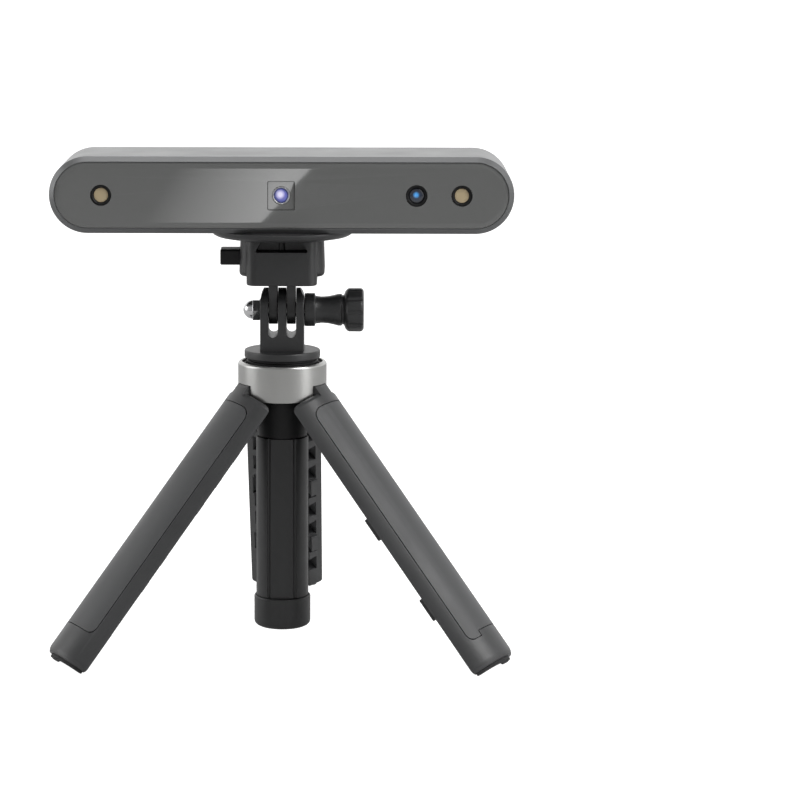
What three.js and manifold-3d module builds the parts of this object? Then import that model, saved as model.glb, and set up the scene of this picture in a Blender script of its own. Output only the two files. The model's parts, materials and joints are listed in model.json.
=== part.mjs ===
// Handheld 3-D scanner on a folding grip that opens into a mini tripod.
// Millimetres, +Z up, the lenses face -Y.  The tripod axis is the working
// origin while parts are made; the finished group is then moved so the middle
// of its bounding box floor sits at 0,0,0.
import * as THREE from 'three';
import { mergeVertices } from 'three/addons/utils/BufferGeometryUtils.js';
import Module from 'manifold-3d';

const wasm = await Module();
wasm.setup();

// ---- driving dimensions ---------------------------------------------------
const HEAD_WIDTH = 154.6;
const HEAD_DEPTH = 38.2;
const HEAD_HEIGHT = 25.6;
const HEAD_Z = 157.7;
const HEAD_CHAMFER = 1.6;
const HEAD_WALL = 3.0;
const COVER_INSET = 1.9;
const PANEL_THICK = 2.2;

const CAMERA_SPAN = 59.9;
const COLOUR_CAMERA_X = 44.9;

const PLATE_RADIUS = 24.0;
const PLATE_BOTTOM = 142.3;
const CLAMP_TOP = 142.0;
const CLAMP_STEP = 130.4;
const CLAMP_BOTTOM = 126.6;
const SLOT_FLOOR = 137.9;
const BUTTON_Z = 135.25;
const BUTTON_HEIGHT = 5.3;

const PIVOT_Z = 116.9;
const PRONG_DEPTH = 15.0;
const PRONG_OUTER = 7.4;
const SLOT_INNER = 1.36;
const SLOT_OUTER = 4.76;
const CLEVIS_FLOOR = 108.3;
const BASE_TOP = 103.4;
const BASE_BOTTOM = 100.7;
const BASE_RADIUS = 12.9;
const BOLT_RADIUS = 2.4;

const COLLAR_TOP = 99.5;
const COLLAR_BOTTOM = 87.0;
const COLLAR_RADIUS = 15.1;
const COLLAR_BORE = 13.7;
const NOTCH_WIDTH = 8.1;
const NOTCH_TOP = 92.3;
const NECK_BOTTOM = 73.5;

const LEG_SPREAD = 40.3;
const LEG_LENGTH = 114.3;
const FLOOR_Z = 2.0;
const LEG_INNER = 9.9;
const LEG_OUTER = 15.1;
const LEG_SIDE_GAP = 0.12;
const HINGE_RADIUS = 9.5;
const HINGE_Z = 90.8;
const LEG_TOP = 85.8;
const LUG_WIDTH = 7.2;
const LUG_RADIUS = 3.7;
const SOLE_THICK = 3.0;

const TUBE_RADIUS = 8.9;
const TUBE_BOTTOM = 18.0;
const CAP_RADIUS = 9.68;
const CAP_BOTTOM = 7.1;
const POLE_OUTER = 4.9;
const POLE_INNER = 3.8;

const LEGS = [
  { name: 'left', azimuth: 210 },
  { name: 'right', azimuth: 330 },
  { name: 'back', azimuth: 90 },
];

// ---- materials --------------------------------------------------------------
const LOOKS = {
  shell: ['#8d8f90', 0.38, 0.85],
  panel: ['#3b3d3d', 0.12, 0.0],
  cover: ['#37393b', 0.5, 0.1],
  polymer: ['#303234', 0.55, 0.0],
  dark: ['#1a1b1d', 0.5, 0.0],
  grip: ['#46494b', 0.75, 0.0],
  rubber: ['#1d1e1f', 0.9, 0.0],
  steel: ['#9a9c9e', 0.3, 1.0],
  chrome: ['#d8dadc', 0.08, 1.0],
  collar: ['#a9aaac', 0.35, 0.9],
  brass: ['#b08d4a', 0.35, 1.0],
  board: ['#1f5a3a', 0.6, 0.0],
  window: ['#cbb98f', 0.35, 0.0],
  lens: ['#1c2a63', 0.05, 0.0],
  light: ['#d9efe2', 0.3, 0.0],
};

const root = new THREE.Group();
root.name = 'handheld_scanner';

function add(name, geometry, look) {
  const [color, roughness, metalness] = LOOKS[look];
  geometry.computeVertexNormals();
  const material = new THREE.MeshStandardMaterial({ color, roughness, metalness });
  const mesh = new THREE.Mesh(geometry, material);
  mesh.name = name;
  root.add(mesh);
  return mesh;
}

// ---- solids -------------------------------------------------------------------
function solid(geometry) {
  const plain = geometry.clone();
  plain.deleteAttribute('normal');
  plain.deleteAttribute('uv');
  const merged = mergeVertices(plain, 1e-4);
  return new wasm.Manifold(new wasm.Mesh({
    numProp: 3,
    vertProperties: new Float32Array(merged.attributes.position.array),
    triVerts: new Uint32Array(merged.index.array),
  }));
}

function surface(body) {
  const mesh = body.getMesh();
  const geometry = new THREE.BufferGeometry();
  const indexed = new THREE.BufferAttribute(new Float32Array(mesh.vertProperties), 3);
  geometry.setAttribute('position', indexed);
  geometry.setIndex(new THREE.BufferAttribute(new Uint32Array(mesh.triVerts), 1));
  return geometry;
}

function join(first, ...others) {
  return others.reduce((body, next) => body.add(next), first);
}

function cut(first, ...tools) {
  return tools.reduce((body, tool) => body.subtract(tool), first);
}

const spin = THREE.MathUtils.degToRad;

function box(x0, x1, y0, y1, z0, z1) {
  const geometry = new THREE.BoxGeometry(x1 - x0, y1 - y0, z1 - z0);
  geometry.translate((x0 + x1) / 2, (y0 + y1) / 2, (z0 + z1) / 2);
  return solid(geometry);
}

// Round body about Z from [radius, height] pairs, listed from the bottom up.
function turned(profile, segments = 28) {
  const points = profile.map(([radius, height]) => new THREE.Vector2(radius, height));
  const geometry = new THREE.LatheGeometry(points, segments);
  geometry.rotateX(Math.PI / 2);
  return solid(geometry);
}

function disc(radius, z0, z1, segments = 28) {
  return turned([[0, z0], [radius, z0], [radius, z1], [0, z1]], segments);
}

function ring(inner, outer, z0, z1, segments = 28) {
  const profile = [[inner, z0], [outer, z0], [outer, z1], [inner, z1], [inner, z0]];
  return turned(profile, segments);
}

// The same bodies laid along Y (towards the back) or along X (to the right).
function alongY(body, x = 0, z = 0) {
  return body.rotate([-90, 0, 0]).translate([x, 0, z]);
}

function alongX(body, y = 0, z = 0) {
  return body.rotate([0, 90, 0]).translate([0, y, z]);
}

// Profile drawn in X (right) and Z (up), pulled from y0 to y1.
function pulledY(shape, y0, y1, bevel = 0, bevelDepth = bevel, curve = 16) {
  const geometry = new THREE.ExtrudeGeometry(shape, {
    depth: y1 - y0 - 2 * bevelDepth,
    bevelEnabled: bevel > 0,
    bevelSize: bevel,
    bevelThickness: bevelDepth,
    bevelOffset: -bevel,
    bevelSegments: 1,
    curveSegments: curve,
  });
  geometry.rotateX(Math.PI / 2);
  geometry.translate(0, y1 - bevelDepth, 0);
  return solid(geometry);
}

// Profile drawn in X and Y, pulled from z0 to z1.
function pulledZ(shape, z0, z1, bevel = 0, curve = 12, steps = 1) {
  const geometry = new THREE.ExtrudeGeometry(shape, {
    depth: z1 - z0 - 2 * bevel,
    bevelEnabled: bevel > 0,
    bevelSize: bevel,
    bevelThickness: bevel,
    bevelOffset: -bevel,
    bevelSegments: steps,
    curveSegments: curve,
  });
  geometry.translate(0, 0, z0 + bevel);
  return solid(geometry);
}

// Profile drawn in Y (as shape x) and Z (as shape y), pulled from x0 to x1.
function pulledX(shape, x0, x1, curve = 12) {
  const geometry = new THREE.ExtrudeGeometry(shape, {
    depth: x1 - x0,
    bevelEnabled: false,
    curveSegments: curve,
  });
  geometry.rotateX(Math.PI / 2);
  geometry.rotateZ(Math.PI / 2);
  geometry.translate(x0, 0, 0);
  return solid(geometry);
}

function stadium(width, height, z = 0, x = 0) {
  const r = height / 2;
  const straight = width / 2 - r;
  const shape = new THREE.Shape();
  shape.moveTo(x - straight, z - r);
  shape.lineTo(x + straight, z - r);
  shape.absarc(x + straight, z, r, -Math.PI / 2, Math.PI / 2, false);
  shape.lineTo(x - straight, z + r);
  shape.absarc(x - straight, z, r, Math.PI / 2, Math.PI * 1.5, false);
  return shape;
}

function roundedRect(width, height, radius, cx = 0, cy = 0) {
  const w = width / 2 - radius;
  const h = height / 2 - radius;
  const shape = new THREE.Shape();
  shape.moveTo(cx - w, cy - height / 2);
  shape.lineTo(cx + w, cy - height / 2);
  shape.absarc(cx + w, cy - h, radius, -Math.PI / 2, 0, false);
  shape.lineTo(cx + width / 2, cy + h);
  shape.absarc(cx + w, cy + h, radius, 0, Math.PI / 2, false);
  shape.lineTo(cx - w, cy + height / 2);
  shape.absarc(cx - w, cy + h, radius, Math.PI / 2, Math.PI, false);
  shape.lineTo(cx - width / 2, cy - h);
  shape.absarc(cx - w, cy - h, radius, Math.PI, Math.PI * 1.5, false);
  return shape;
}

function polygon(points) {
  return new THREE.Shape(points.map(([x, y]) => new THREE.Vector2(x, y)));
}

// Part of a round tube wall, centred on +X, with its side faces `gap` inside
// the radial planes at +/- `half` degrees.
function sector(inner, outer, half, gap = 0) {
  const sideAngle = (radius) => spin(half) - Math.asin(gap / radius);
  const shape = new THREE.Shape();
  shape.absarc(0, 0, outer, -sideAngle(outer), sideAngle(outer), false);
  shape.absarc(0, 0, inner, sideAngle(inner), -sideAngle(inner), true);
  return shape;
}

// ---- scanner head ----------------------------------------------------------
const FRONT = -HEAD_DEPTH / 2;
const BACK = HEAD_DEPTH / 2;
const PANEL_BACK = FRONT + PANEL_THICK;
const COVER_FACE = BACK - 0.5;
const COVER_FRONT = COVER_FACE - 2.0;
const BUTTON_X = -26;
const LIGHT_X = -17;
const INSERT_RADIUS = 4.4;

function makeHeadShell() {
  const body = pulledY(stadium(HEAD_WIDTH, HEAD_HEIGHT, HEAD_Z), FRONT, BACK, HEAD_CHAMFER,
    HEAD_CHAMFER, 14);
  const hollow = (inset, y0, y1) => pulledY(
    stadium(HEAD_WIDTH - 2 * inset, HEAD_HEIGHT - 2 * inset, HEAD_Z), y0, y1, 0, 0, 14);
  const bottom = HEAD_Z - HEAD_HEIGHT / 2;
  return cut(
    body,
    hollow(HEAD_WALL, FRONT - 1, BACK + 1),
    hollow(COVER_INSET - 0.12, FRONT - 1, PANEL_BACK + 0.1),
    hollow(COVER_INSET - 0.12, COVER_FRONT - 0.1, BACK + 1),
    disc(INSERT_RADIUS + 0.15, bottom - 1, bottom + HEAD_WALL + 1, 24),
  );
}

function makeFrontPanel() {
  const outline = stadium(HEAD_WIDTH - 2 * COVER_INSET, HEAD_HEIGHT - 2 * COVER_INSET, HEAD_Z);
  const plate = pulledY(outline, FRONT, PANEL_BACK, 1.8, 0.35, 14);
  const hole = (x, radius) => alongY(disc(radius, FRONT - 1, PANEL_BACK + 1, 24), x, HEAD_Z);
  const square = pulledY(roundedRect(9.1, 9.7, 0.6, 0, HEAD_Z), FRONT - 1, PANEL_BACK + 1, 0, 0, 4);
  return cut(plate, hole(-CAMERA_SPAN, 3.5), hole(CAMERA_SPAN, 3.5), hole(COLOUR_CAMERA_X, 3.6), square);
}

const SCREW_SPOTS = [
  [-62, 0],
  [62, 0],
  [-34, -6.6],
  [34, -6.6],
];

function makeRearCover() {
  const outline = stadium(HEAD_WIDTH - 2 * COVER_INSET, HEAD_HEIGHT - 2 * COVER_INSET, HEAD_Z);
  const plate = pulledY(outline, COVER_FRONT, COVER_FACE, 0.4, 0.4, 14);
  const port = pulledY(stadium(9.6, 3.8, HEAD_Z), COVER_FRONT - 1, COVER_FACE + 1, 0, 0, 8);
  const through = (x, z, radius) => alongY(disc(radius, COVER_FRONT - 1, COVER_FACE + 1, 24), x,
    HEAD_Z + z);
  const sunk = SCREW_SPOTS.map(([x, z]) => alongY(
    turned([[0, COVER_FRONT - 1], [1.15, COVER_FRONT - 1], [1.15, COVER_FRONT + 0.5],
      [2.2, COVER_FRONT + 1.3], [2.2, COVER_FACE + 1], [0, COVER_FACE + 1]], 12), x, HEAD_Z + z));
  const vents = [-1, 1].flatMap((side) => [0, 1, 2, 3].map((step) => pulledY(
    roundedRect(1.4, 9, 0.6, side * (44 + 3 * step), HEAD_Z), COVER_FRONT - 1, COVER_FACE + 1, 0, 0, 1)));
  return cut(plate, port, through(BUTTON_X, 0, 3.2), through(LIGHT_X, 0, 1.2), ...sunk, ...vents);
}

add('head_shell', surface(makeHeadShell()), 'shell');
add('front_panel', surface(makeFrontPanel()), 'panel');
add('rear_cover', surface(makeRearCover()), 'cover');

SCREW_SPOTS.forEach(([x, z], index) => {
  const head = turned([[0, COVER_FRONT - 3], [1.0, COVER_FRONT - 3], [1.0, COVER_FRONT + 0.5],
    [2.0, COVER_FRONT + 1.3], [2.0, COVER_FRONT + 1.7], [0, COVER_FRONT + 1.7]], 12);
  const slot = box(-1.3, 1.3, -0.25, 0.25, COVER_FRONT + 1.2, COVER_FRONT + 2);
  const cross = box(-0.25, 0.25, -1.3, 1.3, COVER_FRONT + 1.2, COVER_FRONT + 2);
  add(`rear_screw_${index + 1}`, surface(alongY(cut(head, slot, cross), x, HEAD_Z + z)), 'steel');
});

// Eyes of the scanner: a black ring and a recessed window for each camera.
const EYE_FACE = FRONT + 0.5;
const EYE_BACK = FRONT + PANEL_THICK;
const FRAME_FACE = FRONT + 6.6;
const FRAME_BACK = FRAME_FACE + 3.0;

function eyeRing(x, outer, inner) {
  return alongY(ring(inner, outer, EYE_FACE, EYE_BACK, 24), x, HEAD_Z);
}

function eyeGlass(x, radius, dome) {
  const y = EYE_FACE + 0.5;
  const profile = [[0, y - dome], [radius * 0.5, y - dome * 0.75], [radius, y], [radius, EYE_BACK],
    [0, EYE_BACK]];
  return alongY(turned(profile, 20), x, HEAD_Z);
}

function cameraModule(x, barrel) {
  const front = alongY(disc(barrel, EYE_BACK + 0.2, FRAME_BACK + 0.5, 16), x, HEAD_Z);
  return join(front, box(x - 5.5, x + 5.5, FRAME_BACK + 0.2, FRAME_BACK + 6, HEAD_Z - 5.5, HEAD_Z + 5.5));
}

[['left', -CAMERA_SPAN], ['right', CAMERA_SPAN]].forEach(([side, x]) => {
  add(`ir_ring_${side}`, surface(eyeRing(x, 3.42, 2.42)), 'dark');
  add(`ir_window_${side}`, surface(eyeGlass(x, 2.36, 0)), 'window');
  add(`ir_camera_${side}`, surface(cameraModule(x, 3.3)), 'dark');
});
add('rgb_ring', surface(eyeRing(COLOUR_CAMERA_X, 3.52, 2.5)), 'dark');
add('rgb_lens', surface(eyeGlass(COLOUR_CAMERA_X, 2.44, 0.5)), 'lens');
add('rgb_camera', surface(cameraModule(COLOUR_CAMERA_X, 3.3)), 'dark');

const bezelPlate = pulledY(roundedRect(9.0, 9.6, 0.55, 0, HEAD_Z), EYE_FACE, EYE_BACK, 0, 0, 4);
add('projector_bezel', surface(cut(bezelPlate, alongY(disc(3.05, -30, 0, 32), 0, HEAD_Z))), 'panel');
add('projector_ring', surface(eyeRing(0, 2.98, 2.2)), 'steel');
add('projector_lens', surface(eyeGlass(0, 2.14, 0.4)), 'lens');
add('projector', surface(join(
  alongY(disc(4.2, EYE_BACK + 0.2, FRAME_BACK + 0.5, 16), 0, HEAD_Z),
  box(-7, 7, FRAME_BACK + 0.2, FRAME_BACK + 8, HEAD_Z - 6.5, HEAD_Z + 6.5),
)), 'dark');

function makeOpticalFrame() {
  const bar = pulledY(roundedRect(134, 15, 3, 0, HEAD_Z), FRAME_FACE, FRAME_BACK, 0, 0, 2);
  const bore = (x, radius) => alongY(disc(radius, FRAME_FACE - 1, FRAME_BACK + 1, 16), x, HEAD_Z);
  const windows = [-1, 1].map((side) => pulledY(
    roundedRect(20, 8, 2, side * 25, HEAD_Z), FRAME_FACE - 1, FRAME_BACK + 1, 0, 0, 2));
  return cut(bar, bore(-CAMERA_SPAN, 3.5), bore(CAMERA_SPAN, 3.5), bore(COLOUR_CAMERA_X, 3.5), bore(0, 4.4),
    ...windows);
}

add('optical_frame', surface(makeOpticalFrame()), 'steel');

const SINK_BACK = FRAME_BACK + 16;
const fins = [-2, -1, 0, 1, 2].map((step) => box(step * 3 - 0.6, step * 3 + 0.6,
  FRAME_BACK + 9, SINK_BACK, HEAD_Z - 6.5, HEAD_Z + 6.5));
add('projector_heat_sink', surface(join(
  box(-7.5, 7.5, FRAME_BACK + 8.3, FRAME_BACK + 10, HEAD_Z - 6.5, HEAD_Z + 6.5), ...fins)), 'steel');

const BOARD_FACE = COVER_FRONT - 5.2;
const BOARD_BACK = BOARD_FACE + 1.6;
const chips = [[-46, 10], [-12, 5], [18, 9], [40, 12]].map(([x, wide]) => box(x - wide / 2, x + wide / 2,
  BOARD_BACK - 0.2, BOARD_BACK + 1.0, HEAD_Z - 4.5, HEAD_Z + 4.5));
const buttonSwitch = box(BUTTON_X - 2, BUTTON_X + 2, BOARD_BACK - 0.2, BOARD_BACK + 0.7,
  HEAD_Z - 2, HEAD_Z + 2);
add('main_board', surface(join(
  box(-58, 58, BOARD_FACE, BOARD_BACK, HEAD_Z - 8, HEAD_Z + 8), ...chips, buttonSwitch)), 'board');

const portShell = pulledY(stadium(9.0, 3.2, HEAD_Z), BOARD_BACK + 1.2, COVER_FACE - 0.1, 0, 0, 8);
const portMouth = pulledY(stadium(8.3, 2.5, HEAD_Z), BOARD_BACK + 2.4, COVER_FACE + 1, 0, 0, 8);
const portTongue = box(-3.3, 3.3, BOARD_BACK + 2, COVER_FACE - 0.8, HEAD_Z - 0.35, HEAD_Z + 0.35);
add('usb_c_port', surface(join(cut(portShell, portMouth), portTongue)), 'steel');

add('power_button', surface(alongY(turned([[0, BOARD_BACK + 1.5], [3.8, BOARD_BACK + 1.5],
  [3.8, COVER_FRONT - 0.9], [2.95, COVER_FRONT - 0.9], [2.95, BACK - 0.3], [2.5, BACK + 0.1],
  [0, BACK + 0.1]], 32), BUTTON_X, HEAD_Z)), 'cover');
add('status_light', surface(alongY(turned([[0, BOARD_BACK + 0.2], [1.05, BOARD_BACK + 0.2],
  [1.05, COVER_FACE - 0.1], [0, COVER_FACE - 0.1]], 16), LIGHT_X, HEAD_Z)), 'light');

// ---- quick release ------------------------------------------------------------
const HEAD_BOTTOM = HEAD_Z - HEAD_HEIGHT / 2;
const SCREW_RADIUS = 3.1;
const TENON_FRONT = -9;
const TENON_BACK = 12;
const CLAMP_FRONT = -13.5;
const CLAMP_BACK = 13.5;

function dovetail(topWidth, bottomWidth, top, bottom) {
  return polygon([[-topWidth / 2, top], [-bottomWidth / 2, bottom + 0.6], [-bottomWidth / 2 + 0.3, bottom],
    [bottomWidth / 2 - 0.3, bottom], [bottomWidth / 2, bottom + 0.6], [topWidth / 2, top]]);
}

add('tripod_insert', surface(turned([[SCREW_RADIUS + 0.15, HEAD_BOTTOM + 0.2], [INSERT_RADIUS,
  HEAD_BOTTOM + 0.2],
  [INSERT_RADIUS, HEAD_BOTTOM + HEAD_WALL + 0.1], [6, HEAD_BOTTOM + HEAD_WALL + 0.1],
  [6, HEAD_BOTTOM + HEAD_WALL + 1.4], [INSERT_RADIUS, HEAD_BOTTOM + HEAD_WALL + 1.4],
  [INSERT_RADIUS, HEAD_BOTTOM + 6.0], [SCREW_RADIUS + 0.15, HEAD_BOTTOM + 6.0],
  [SCREW_RADIUS + 0.15, HEAD_BOTTOM + 0.2]], 16)), 'brass');

function makeMountPlate() {
  const dish = turned([[0, PLATE_BOTTOM], [PLATE_RADIUS - 2.2, PLATE_BOTTOM], [PLATE_RADIUS - 0.7,
    PLATE_BOTTOM + 0.6],
    [PLATE_RADIUS, PLATE_BOTTOM + 1.6], [PLATE_RADIUS, HEAD_BOTTOM - 0.1], [0, HEAD_BOTTOM - 0.1]], 40);
  const tenon = pulledY(dovetail(12.4, 16.8, PLATE_BOTTOM + 0.2, SLOT_FLOOR + 0.25), TENON_FRONT,
    TENON_BACK);
  return cut(
    join(dish, tenon),
    disc(21.2, HEAD_BOTTOM - 0.8, HEAD_BOTTOM, 32),
    disc(SCREW_RADIUS + 0.2, SLOT_FLOOR - 1, HEAD_BOTTOM, 24),
    disc(5.4, SLOT_FLOOR - 1, SLOT_FLOOR + 2.4, 24),
  );
}

add('mount_plate', surface(makeMountPlate()), 'polymer');
add('plate_pad', surface(ring(SCREW_RADIUS + 0.4, 21.0, HEAD_BOTTOM - 0.8, HEAD_BOTTOM, 32)), 'rubber');
const screwHead = turned([[0, SLOT_FLOOR + 0.4], [5.1, SLOT_FLOOR + 0.4], [5.1, SLOT_FLOOR + 2.2],
  [SCREW_RADIUS, SLOT_FLOOR + 2.2], [SCREW_RADIUS, HEAD_BOTTOM + 5.8], [0, HEAD_BOTTOM + 5.8]], 28);
add('plate_screw', surface(cut(screwHead, box(-4, 4, -0.6, 0.6, SLOT_FLOOR, SLOT_FLOOR + 1.4))), 'steel');

const BUTTON_LOW = BUTTON_Z - BUTTON_HEIGHT / 2;
const BUTTON_HIGH = BUTTON_Z + BUTTON_HEIGHT / 2;
const TONGUE_MID = (SLOT_INNER + SLOT_OUTER) / 2;
const TONGUE_THICK = 2.96;
const TONGUE_RADIUS = 4.9;

function makeTongue(side) {
  const shape = new THREE.Shape();
  shape.moveTo(-6.5, CLAMP_BOTTOM + 0.3);
  shape.lineTo(-TONGUE_RADIUS, PIVOT_Z + 3);
  shape.absarc(0, PIVOT_Z, TONGUE_RADIUS, Math.PI, Math.PI * 2, false);
  shape.lineTo(TONGUE_RADIUS, PIVOT_Z + 3);
  shape.lineTo(6.5, CLAMP_BOTTOM + 0.3);
  shape.closePath();
  return pulledX(shape, side * TONGUE_MID - TONGUE_THICK / 2, side * TONGUE_MID + TONGUE_THICK / 2, 10);
}

function makeClampBody() {
  const wide = pulledZ(roundedRect(28.8, 24, 5, 0, 1.5), CLAMP_STEP - 0.6, CLAMP_TOP, 0.6, 5);
  const core = pulledZ(roundedRect(23.7, 24, 3.4, 0, -1.5), CLAMP_BOTTOM, CLAMP_TOP - 0.05, 0.5, 4);
  const slot = pulledY(dovetail(12.9, 17.4, CLAMP_TOP + 0.2, SLOT_FLOOR), CLAMP_FRONT - 1,
    TENON_BACK + 0.4);
  const pocket = box(-20, -5.5, -4.65, 4.65, BUTTON_LOW - 0.15, BUTTON_HIGH + 0.15);
  const bolt = alongX(disc(BOLT_RADIUS + 0.25, -20, 20, 16), 0, PIVOT_Z);
  return cut(join(wide, core, makeTongue(-1), makeTongue(1)), slot, pocket, bolt);
}

add('clamp_body', surface(makeClampBody()), 'polymer');

const buttonBlock = pulledX(roundedRect(9.0, BUTTON_HEIGHT, 0.8, 0, BUTTON_Z), -20.9, -9.6, 3);
const springSeat = alongX(disc(2.0, -14.6, 0, 20), 0, BUTTON_Z);
add('release_button', surface(cut(buttonBlock, springSeat)), 'dark');

class Coil extends THREE.Curve {
  constructor(start, length, radius, turns) {
    super();
    Object.assign(this, { start, length, radius, turns });
  }

  getPoint(t) {
    const angle = t * this.turns * Math.PI * 2;
    return new THREE.Vector3(this.start + t * this.length, this.radius * Math.cos(angle),
      BUTTON_Z + this.radius * Math.sin(angle));
  }
}

const wire = new THREE.Shape();
wire.absarc(0, 0, 0.22, 0, Math.PI * 2, false);
add('release_spring', surface(solid(new THREE.ExtrudeGeometry(wire, {
  steps: 44,
  curveSegments: 3,
  bevelEnabled: false,
  extrudePath: new Coil(-14.2, 6.2, 1.5, 5),
}))), 'steel');

// ---- tilt joint -----------------------------------------------------------------
const PRONG_RADIUS = PRONG_DEPTH / 2;
const STUD_RADIUS = 3.1;

function makeClevis() {
  const shape = new THREE.Shape();
  shape.moveTo(-PRONG_RADIUS, BASE_TOP - 0.3);
  shape.lineTo(PRONG_RADIUS, BASE_TOP - 0.3);
  shape.lineTo(PRONG_RADIUS, PIVOT_Z);
  shape.absarc(0, PIVOT_Z, PRONG_RADIUS, 0, Math.PI, false);
  shape.lineTo(-PRONG_RADIUS, BASE_TOP - 0.3);
  const shoulder = polygon([[-PRONG_OUTER, BASE_TOP - 1], [PRONG_OUTER, BASE_TOP - 1],
    [PRONG_OUTER, PIVOT_Z + 3.7],
    [PRONG_OUTER - 0.25, PIVOT_Z + 5.2], [PRONG_OUTER - 0.65, PIVOT_Z + 6.5], [PRONG_OUTER - 1.25,
      PIVOT_Z + 8],
    [1.25 - PRONG_OUTER, PIVOT_Z + 8], [0.65 - PRONG_OUTER, PIVOT_Z + 6.5], [0.25 - PRONG_OUTER,
      PIVOT_Z + 5.2],
    [-PRONG_OUTER, PIVOT_Z + 3.7]]);
  const block = pulledX(shape, -PRONG_OUTER, PRONG_OUTER, 12).intersect(pulledY(shoulder, -20, 20));
  const flange = turned([[0, BASE_BOTTOM], [BASE_RADIUS - 0.4, BASE_BOTTOM], [BASE_RADIUS,
    BASE_BOTTOM + 0.4],
    [BASE_RADIUS, BASE_TOP - 0.5], [BASE_RADIUS - 0.5, BASE_TOP], [0, BASE_TOP]], 40);
  const slots = [-1, 1].map((side) => {
    const x = side * TONGUE_MID;
    const half = (SLOT_OUTER - SLOT_INNER) / 2;
    return join(
      box(x - half, x + half, -20, 20, CLEVIS_FLOOR + half, PIVOT_Z + 20),
      alongY(disc(half, -20, 20, 16), x, CLEVIS_FLOOR + half),
    );
  });
  const bolt = alongX(disc(BOLT_RADIUS + 0.15, -20, 20, 16), 0, PIVOT_Z);
  return cut(join(block, flange), ...slots, bolt, disc(STUD_RADIUS + 0.15, BASE_BOTTOM - 1, 106, 24));
}

add('clevis_base', surface(makeClevis()), 'polymer');

const KNOB_START = PRONG_OUTER + 0.15;
const NUT_END = -PRONG_OUTER - 0.1;
add('tilt_bolt', surface(alongX(disc(BOLT_RADIUS, -PRONG_OUTER - 3.4, KNOB_START + 14, 24), 0,
  PIVOT_Z)), 'steel');

function makeKnob() {
  const at = (offset) => KNOB_START + offset;
  const body = turned([[0, at(0)], [5.3, at(0)], [5.65, at(0.4)], [5.65, at(3.2)], [5.3, at(3.6)],
    [4.75, at(3.7)], [4.5, at(6.2)], [4.7, at(8.4)], [5.45, at(11.4)], [5.45, at(12.6)], [5.1, at(12.8)],
    [5.1, at(13.3)], [6.5, at(13.9)], [7.4, at(14.9)], [7.4, at(19.2)], [6.6, at(20.1)], [0,
      at(20.1)]], 28);
  const flutes = [];
  for (let step = 0; step < 10; step += 1) {
    const angle = spin(step * 36 + 18);
    flutes.push(disc(0.9, at(14.4), at(21), 5).translate([8.0 * Math.cos(angle),
      8.0 * Math.sin(angle), 0]));
  }
  return alongX(cut(body, disc(BOLT_RADIUS + 0.1, at(-1), at(14.3), 24), ...flutes), 0, PIVOT_Z);
}

add('tilt_knob', surface(makeKnob()), 'polymer');

function makeCapNut() {
  const hexagon = polygon([0, 1, 2, 3, 4, 5].map((step) => {
    const angle = spin(step * 60 + 30);
    return [3.95 * Math.cos(angle), 3.95 * Math.sin(angle)];
  }));
  const hex = pulledZ(hexagon, -2.6, 0);
  const dome = turned([[0, -5.8], [1.3, -5.6], [2.4, -4.9], [3.1, -3.8], [3.25, -2.4], [0, -2.4]], 28);
  const thread = disc(BOLT_RADIUS + 0.1, -3.6, 1, 24);
  return alongX(cut(join(hex, dome), thread).translate([0, 0, NUT_END]), 0, PIVOT_Z);
}

add('cap_nut', surface(makeCapNut()), 'chrome');

// ---- tripod core ------------------------------------------------------------------
const HUB_TOP = 98.6;
const RECESS_FLOOR = 96.2;
const HUB_RADIUS = COLLAR_BORE - 0.15;
const POLE_BORE = POLE_OUTER + 0.3;
const LUG_SLOT = LUG_WIDTH + 0.6;
const PIN_RADIUS = 1.1;

function aroundLegs(body) {
  return LEGS.map(({ azimuth }) => body.rotate([0, 0, azimuth]));
}

function makeCollar() {
  const wall = turned([[COLLAR_BORE, COLLAR_BOTTOM], [COLLAR_RADIUS, COLLAR_BOTTOM],
    [COLLAR_RADIUS, COLLAR_TOP - 1],
    [COLLAR_RADIUS - 0.9, COLLAR_TOP], [COLLAR_BORE, COLLAR_TOP], [COLLAR_BORE, COLLAR_BOTTOM]], 48);
  const notch = box(8, 20, -NOTCH_WIDTH / 2, NOTCH_WIDTH / 2, COLLAR_BOTTOM - 1, NOTCH_TOP);
  return cut(wall, ...aroundLegs(notch));
}

add('collar', surface(makeCollar()), 'collar');

function makeHub() {
  const body = turned([[0, NECK_BOTTOM], [TUBE_RADIUS - 0.5, NECK_BOTTOM], [9.3, COLLAR_BOTTOM - 3],
    [9.3, COLLAR_BOTTOM + 0.6], [10.6, COLLAR_BOTTOM + 1.4], [HUB_RADIUS, COLLAR_BOTTOM + 3.4],
    [HUB_RADIUS, HUB_TOP], [0, HUB_TOP]], 30);
  const slot = join(
    box(HINGE_RADIUS - 4.1, 20, -LUG_SLOT / 2, LUG_SLOT / 2, LEG_TOP - 2.9, HINGE_Z),
    alongY(disc(4.1, -LUG_SLOT / 2, LUG_SLOT / 2, 16), HINGE_RADIUS, HINGE_Z),
    box(HINGE_RADIUS, 20, -LUG_SLOT / 2, LUG_SLOT / 2, HINGE_Z - 1, HINGE_Z + 4.1),
  );
  const pin = alongY(disc(PIN_RADIUS + 0.1, -7.1, 7.1, 10), HINGE_RADIUS, HINGE_Z);
  return cut(body, disc(POLE_BORE, NECK_BOTTOM - 1, HUB_TOP + 1, 24), disc(12.5, RECESS_FLOOR,
    HUB_TOP + 1, 30),
    ...aroundLegs(slot), ...aroundLegs(pin));
}

add('leg_hub', surface(makeHub()), 'dark');

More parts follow.
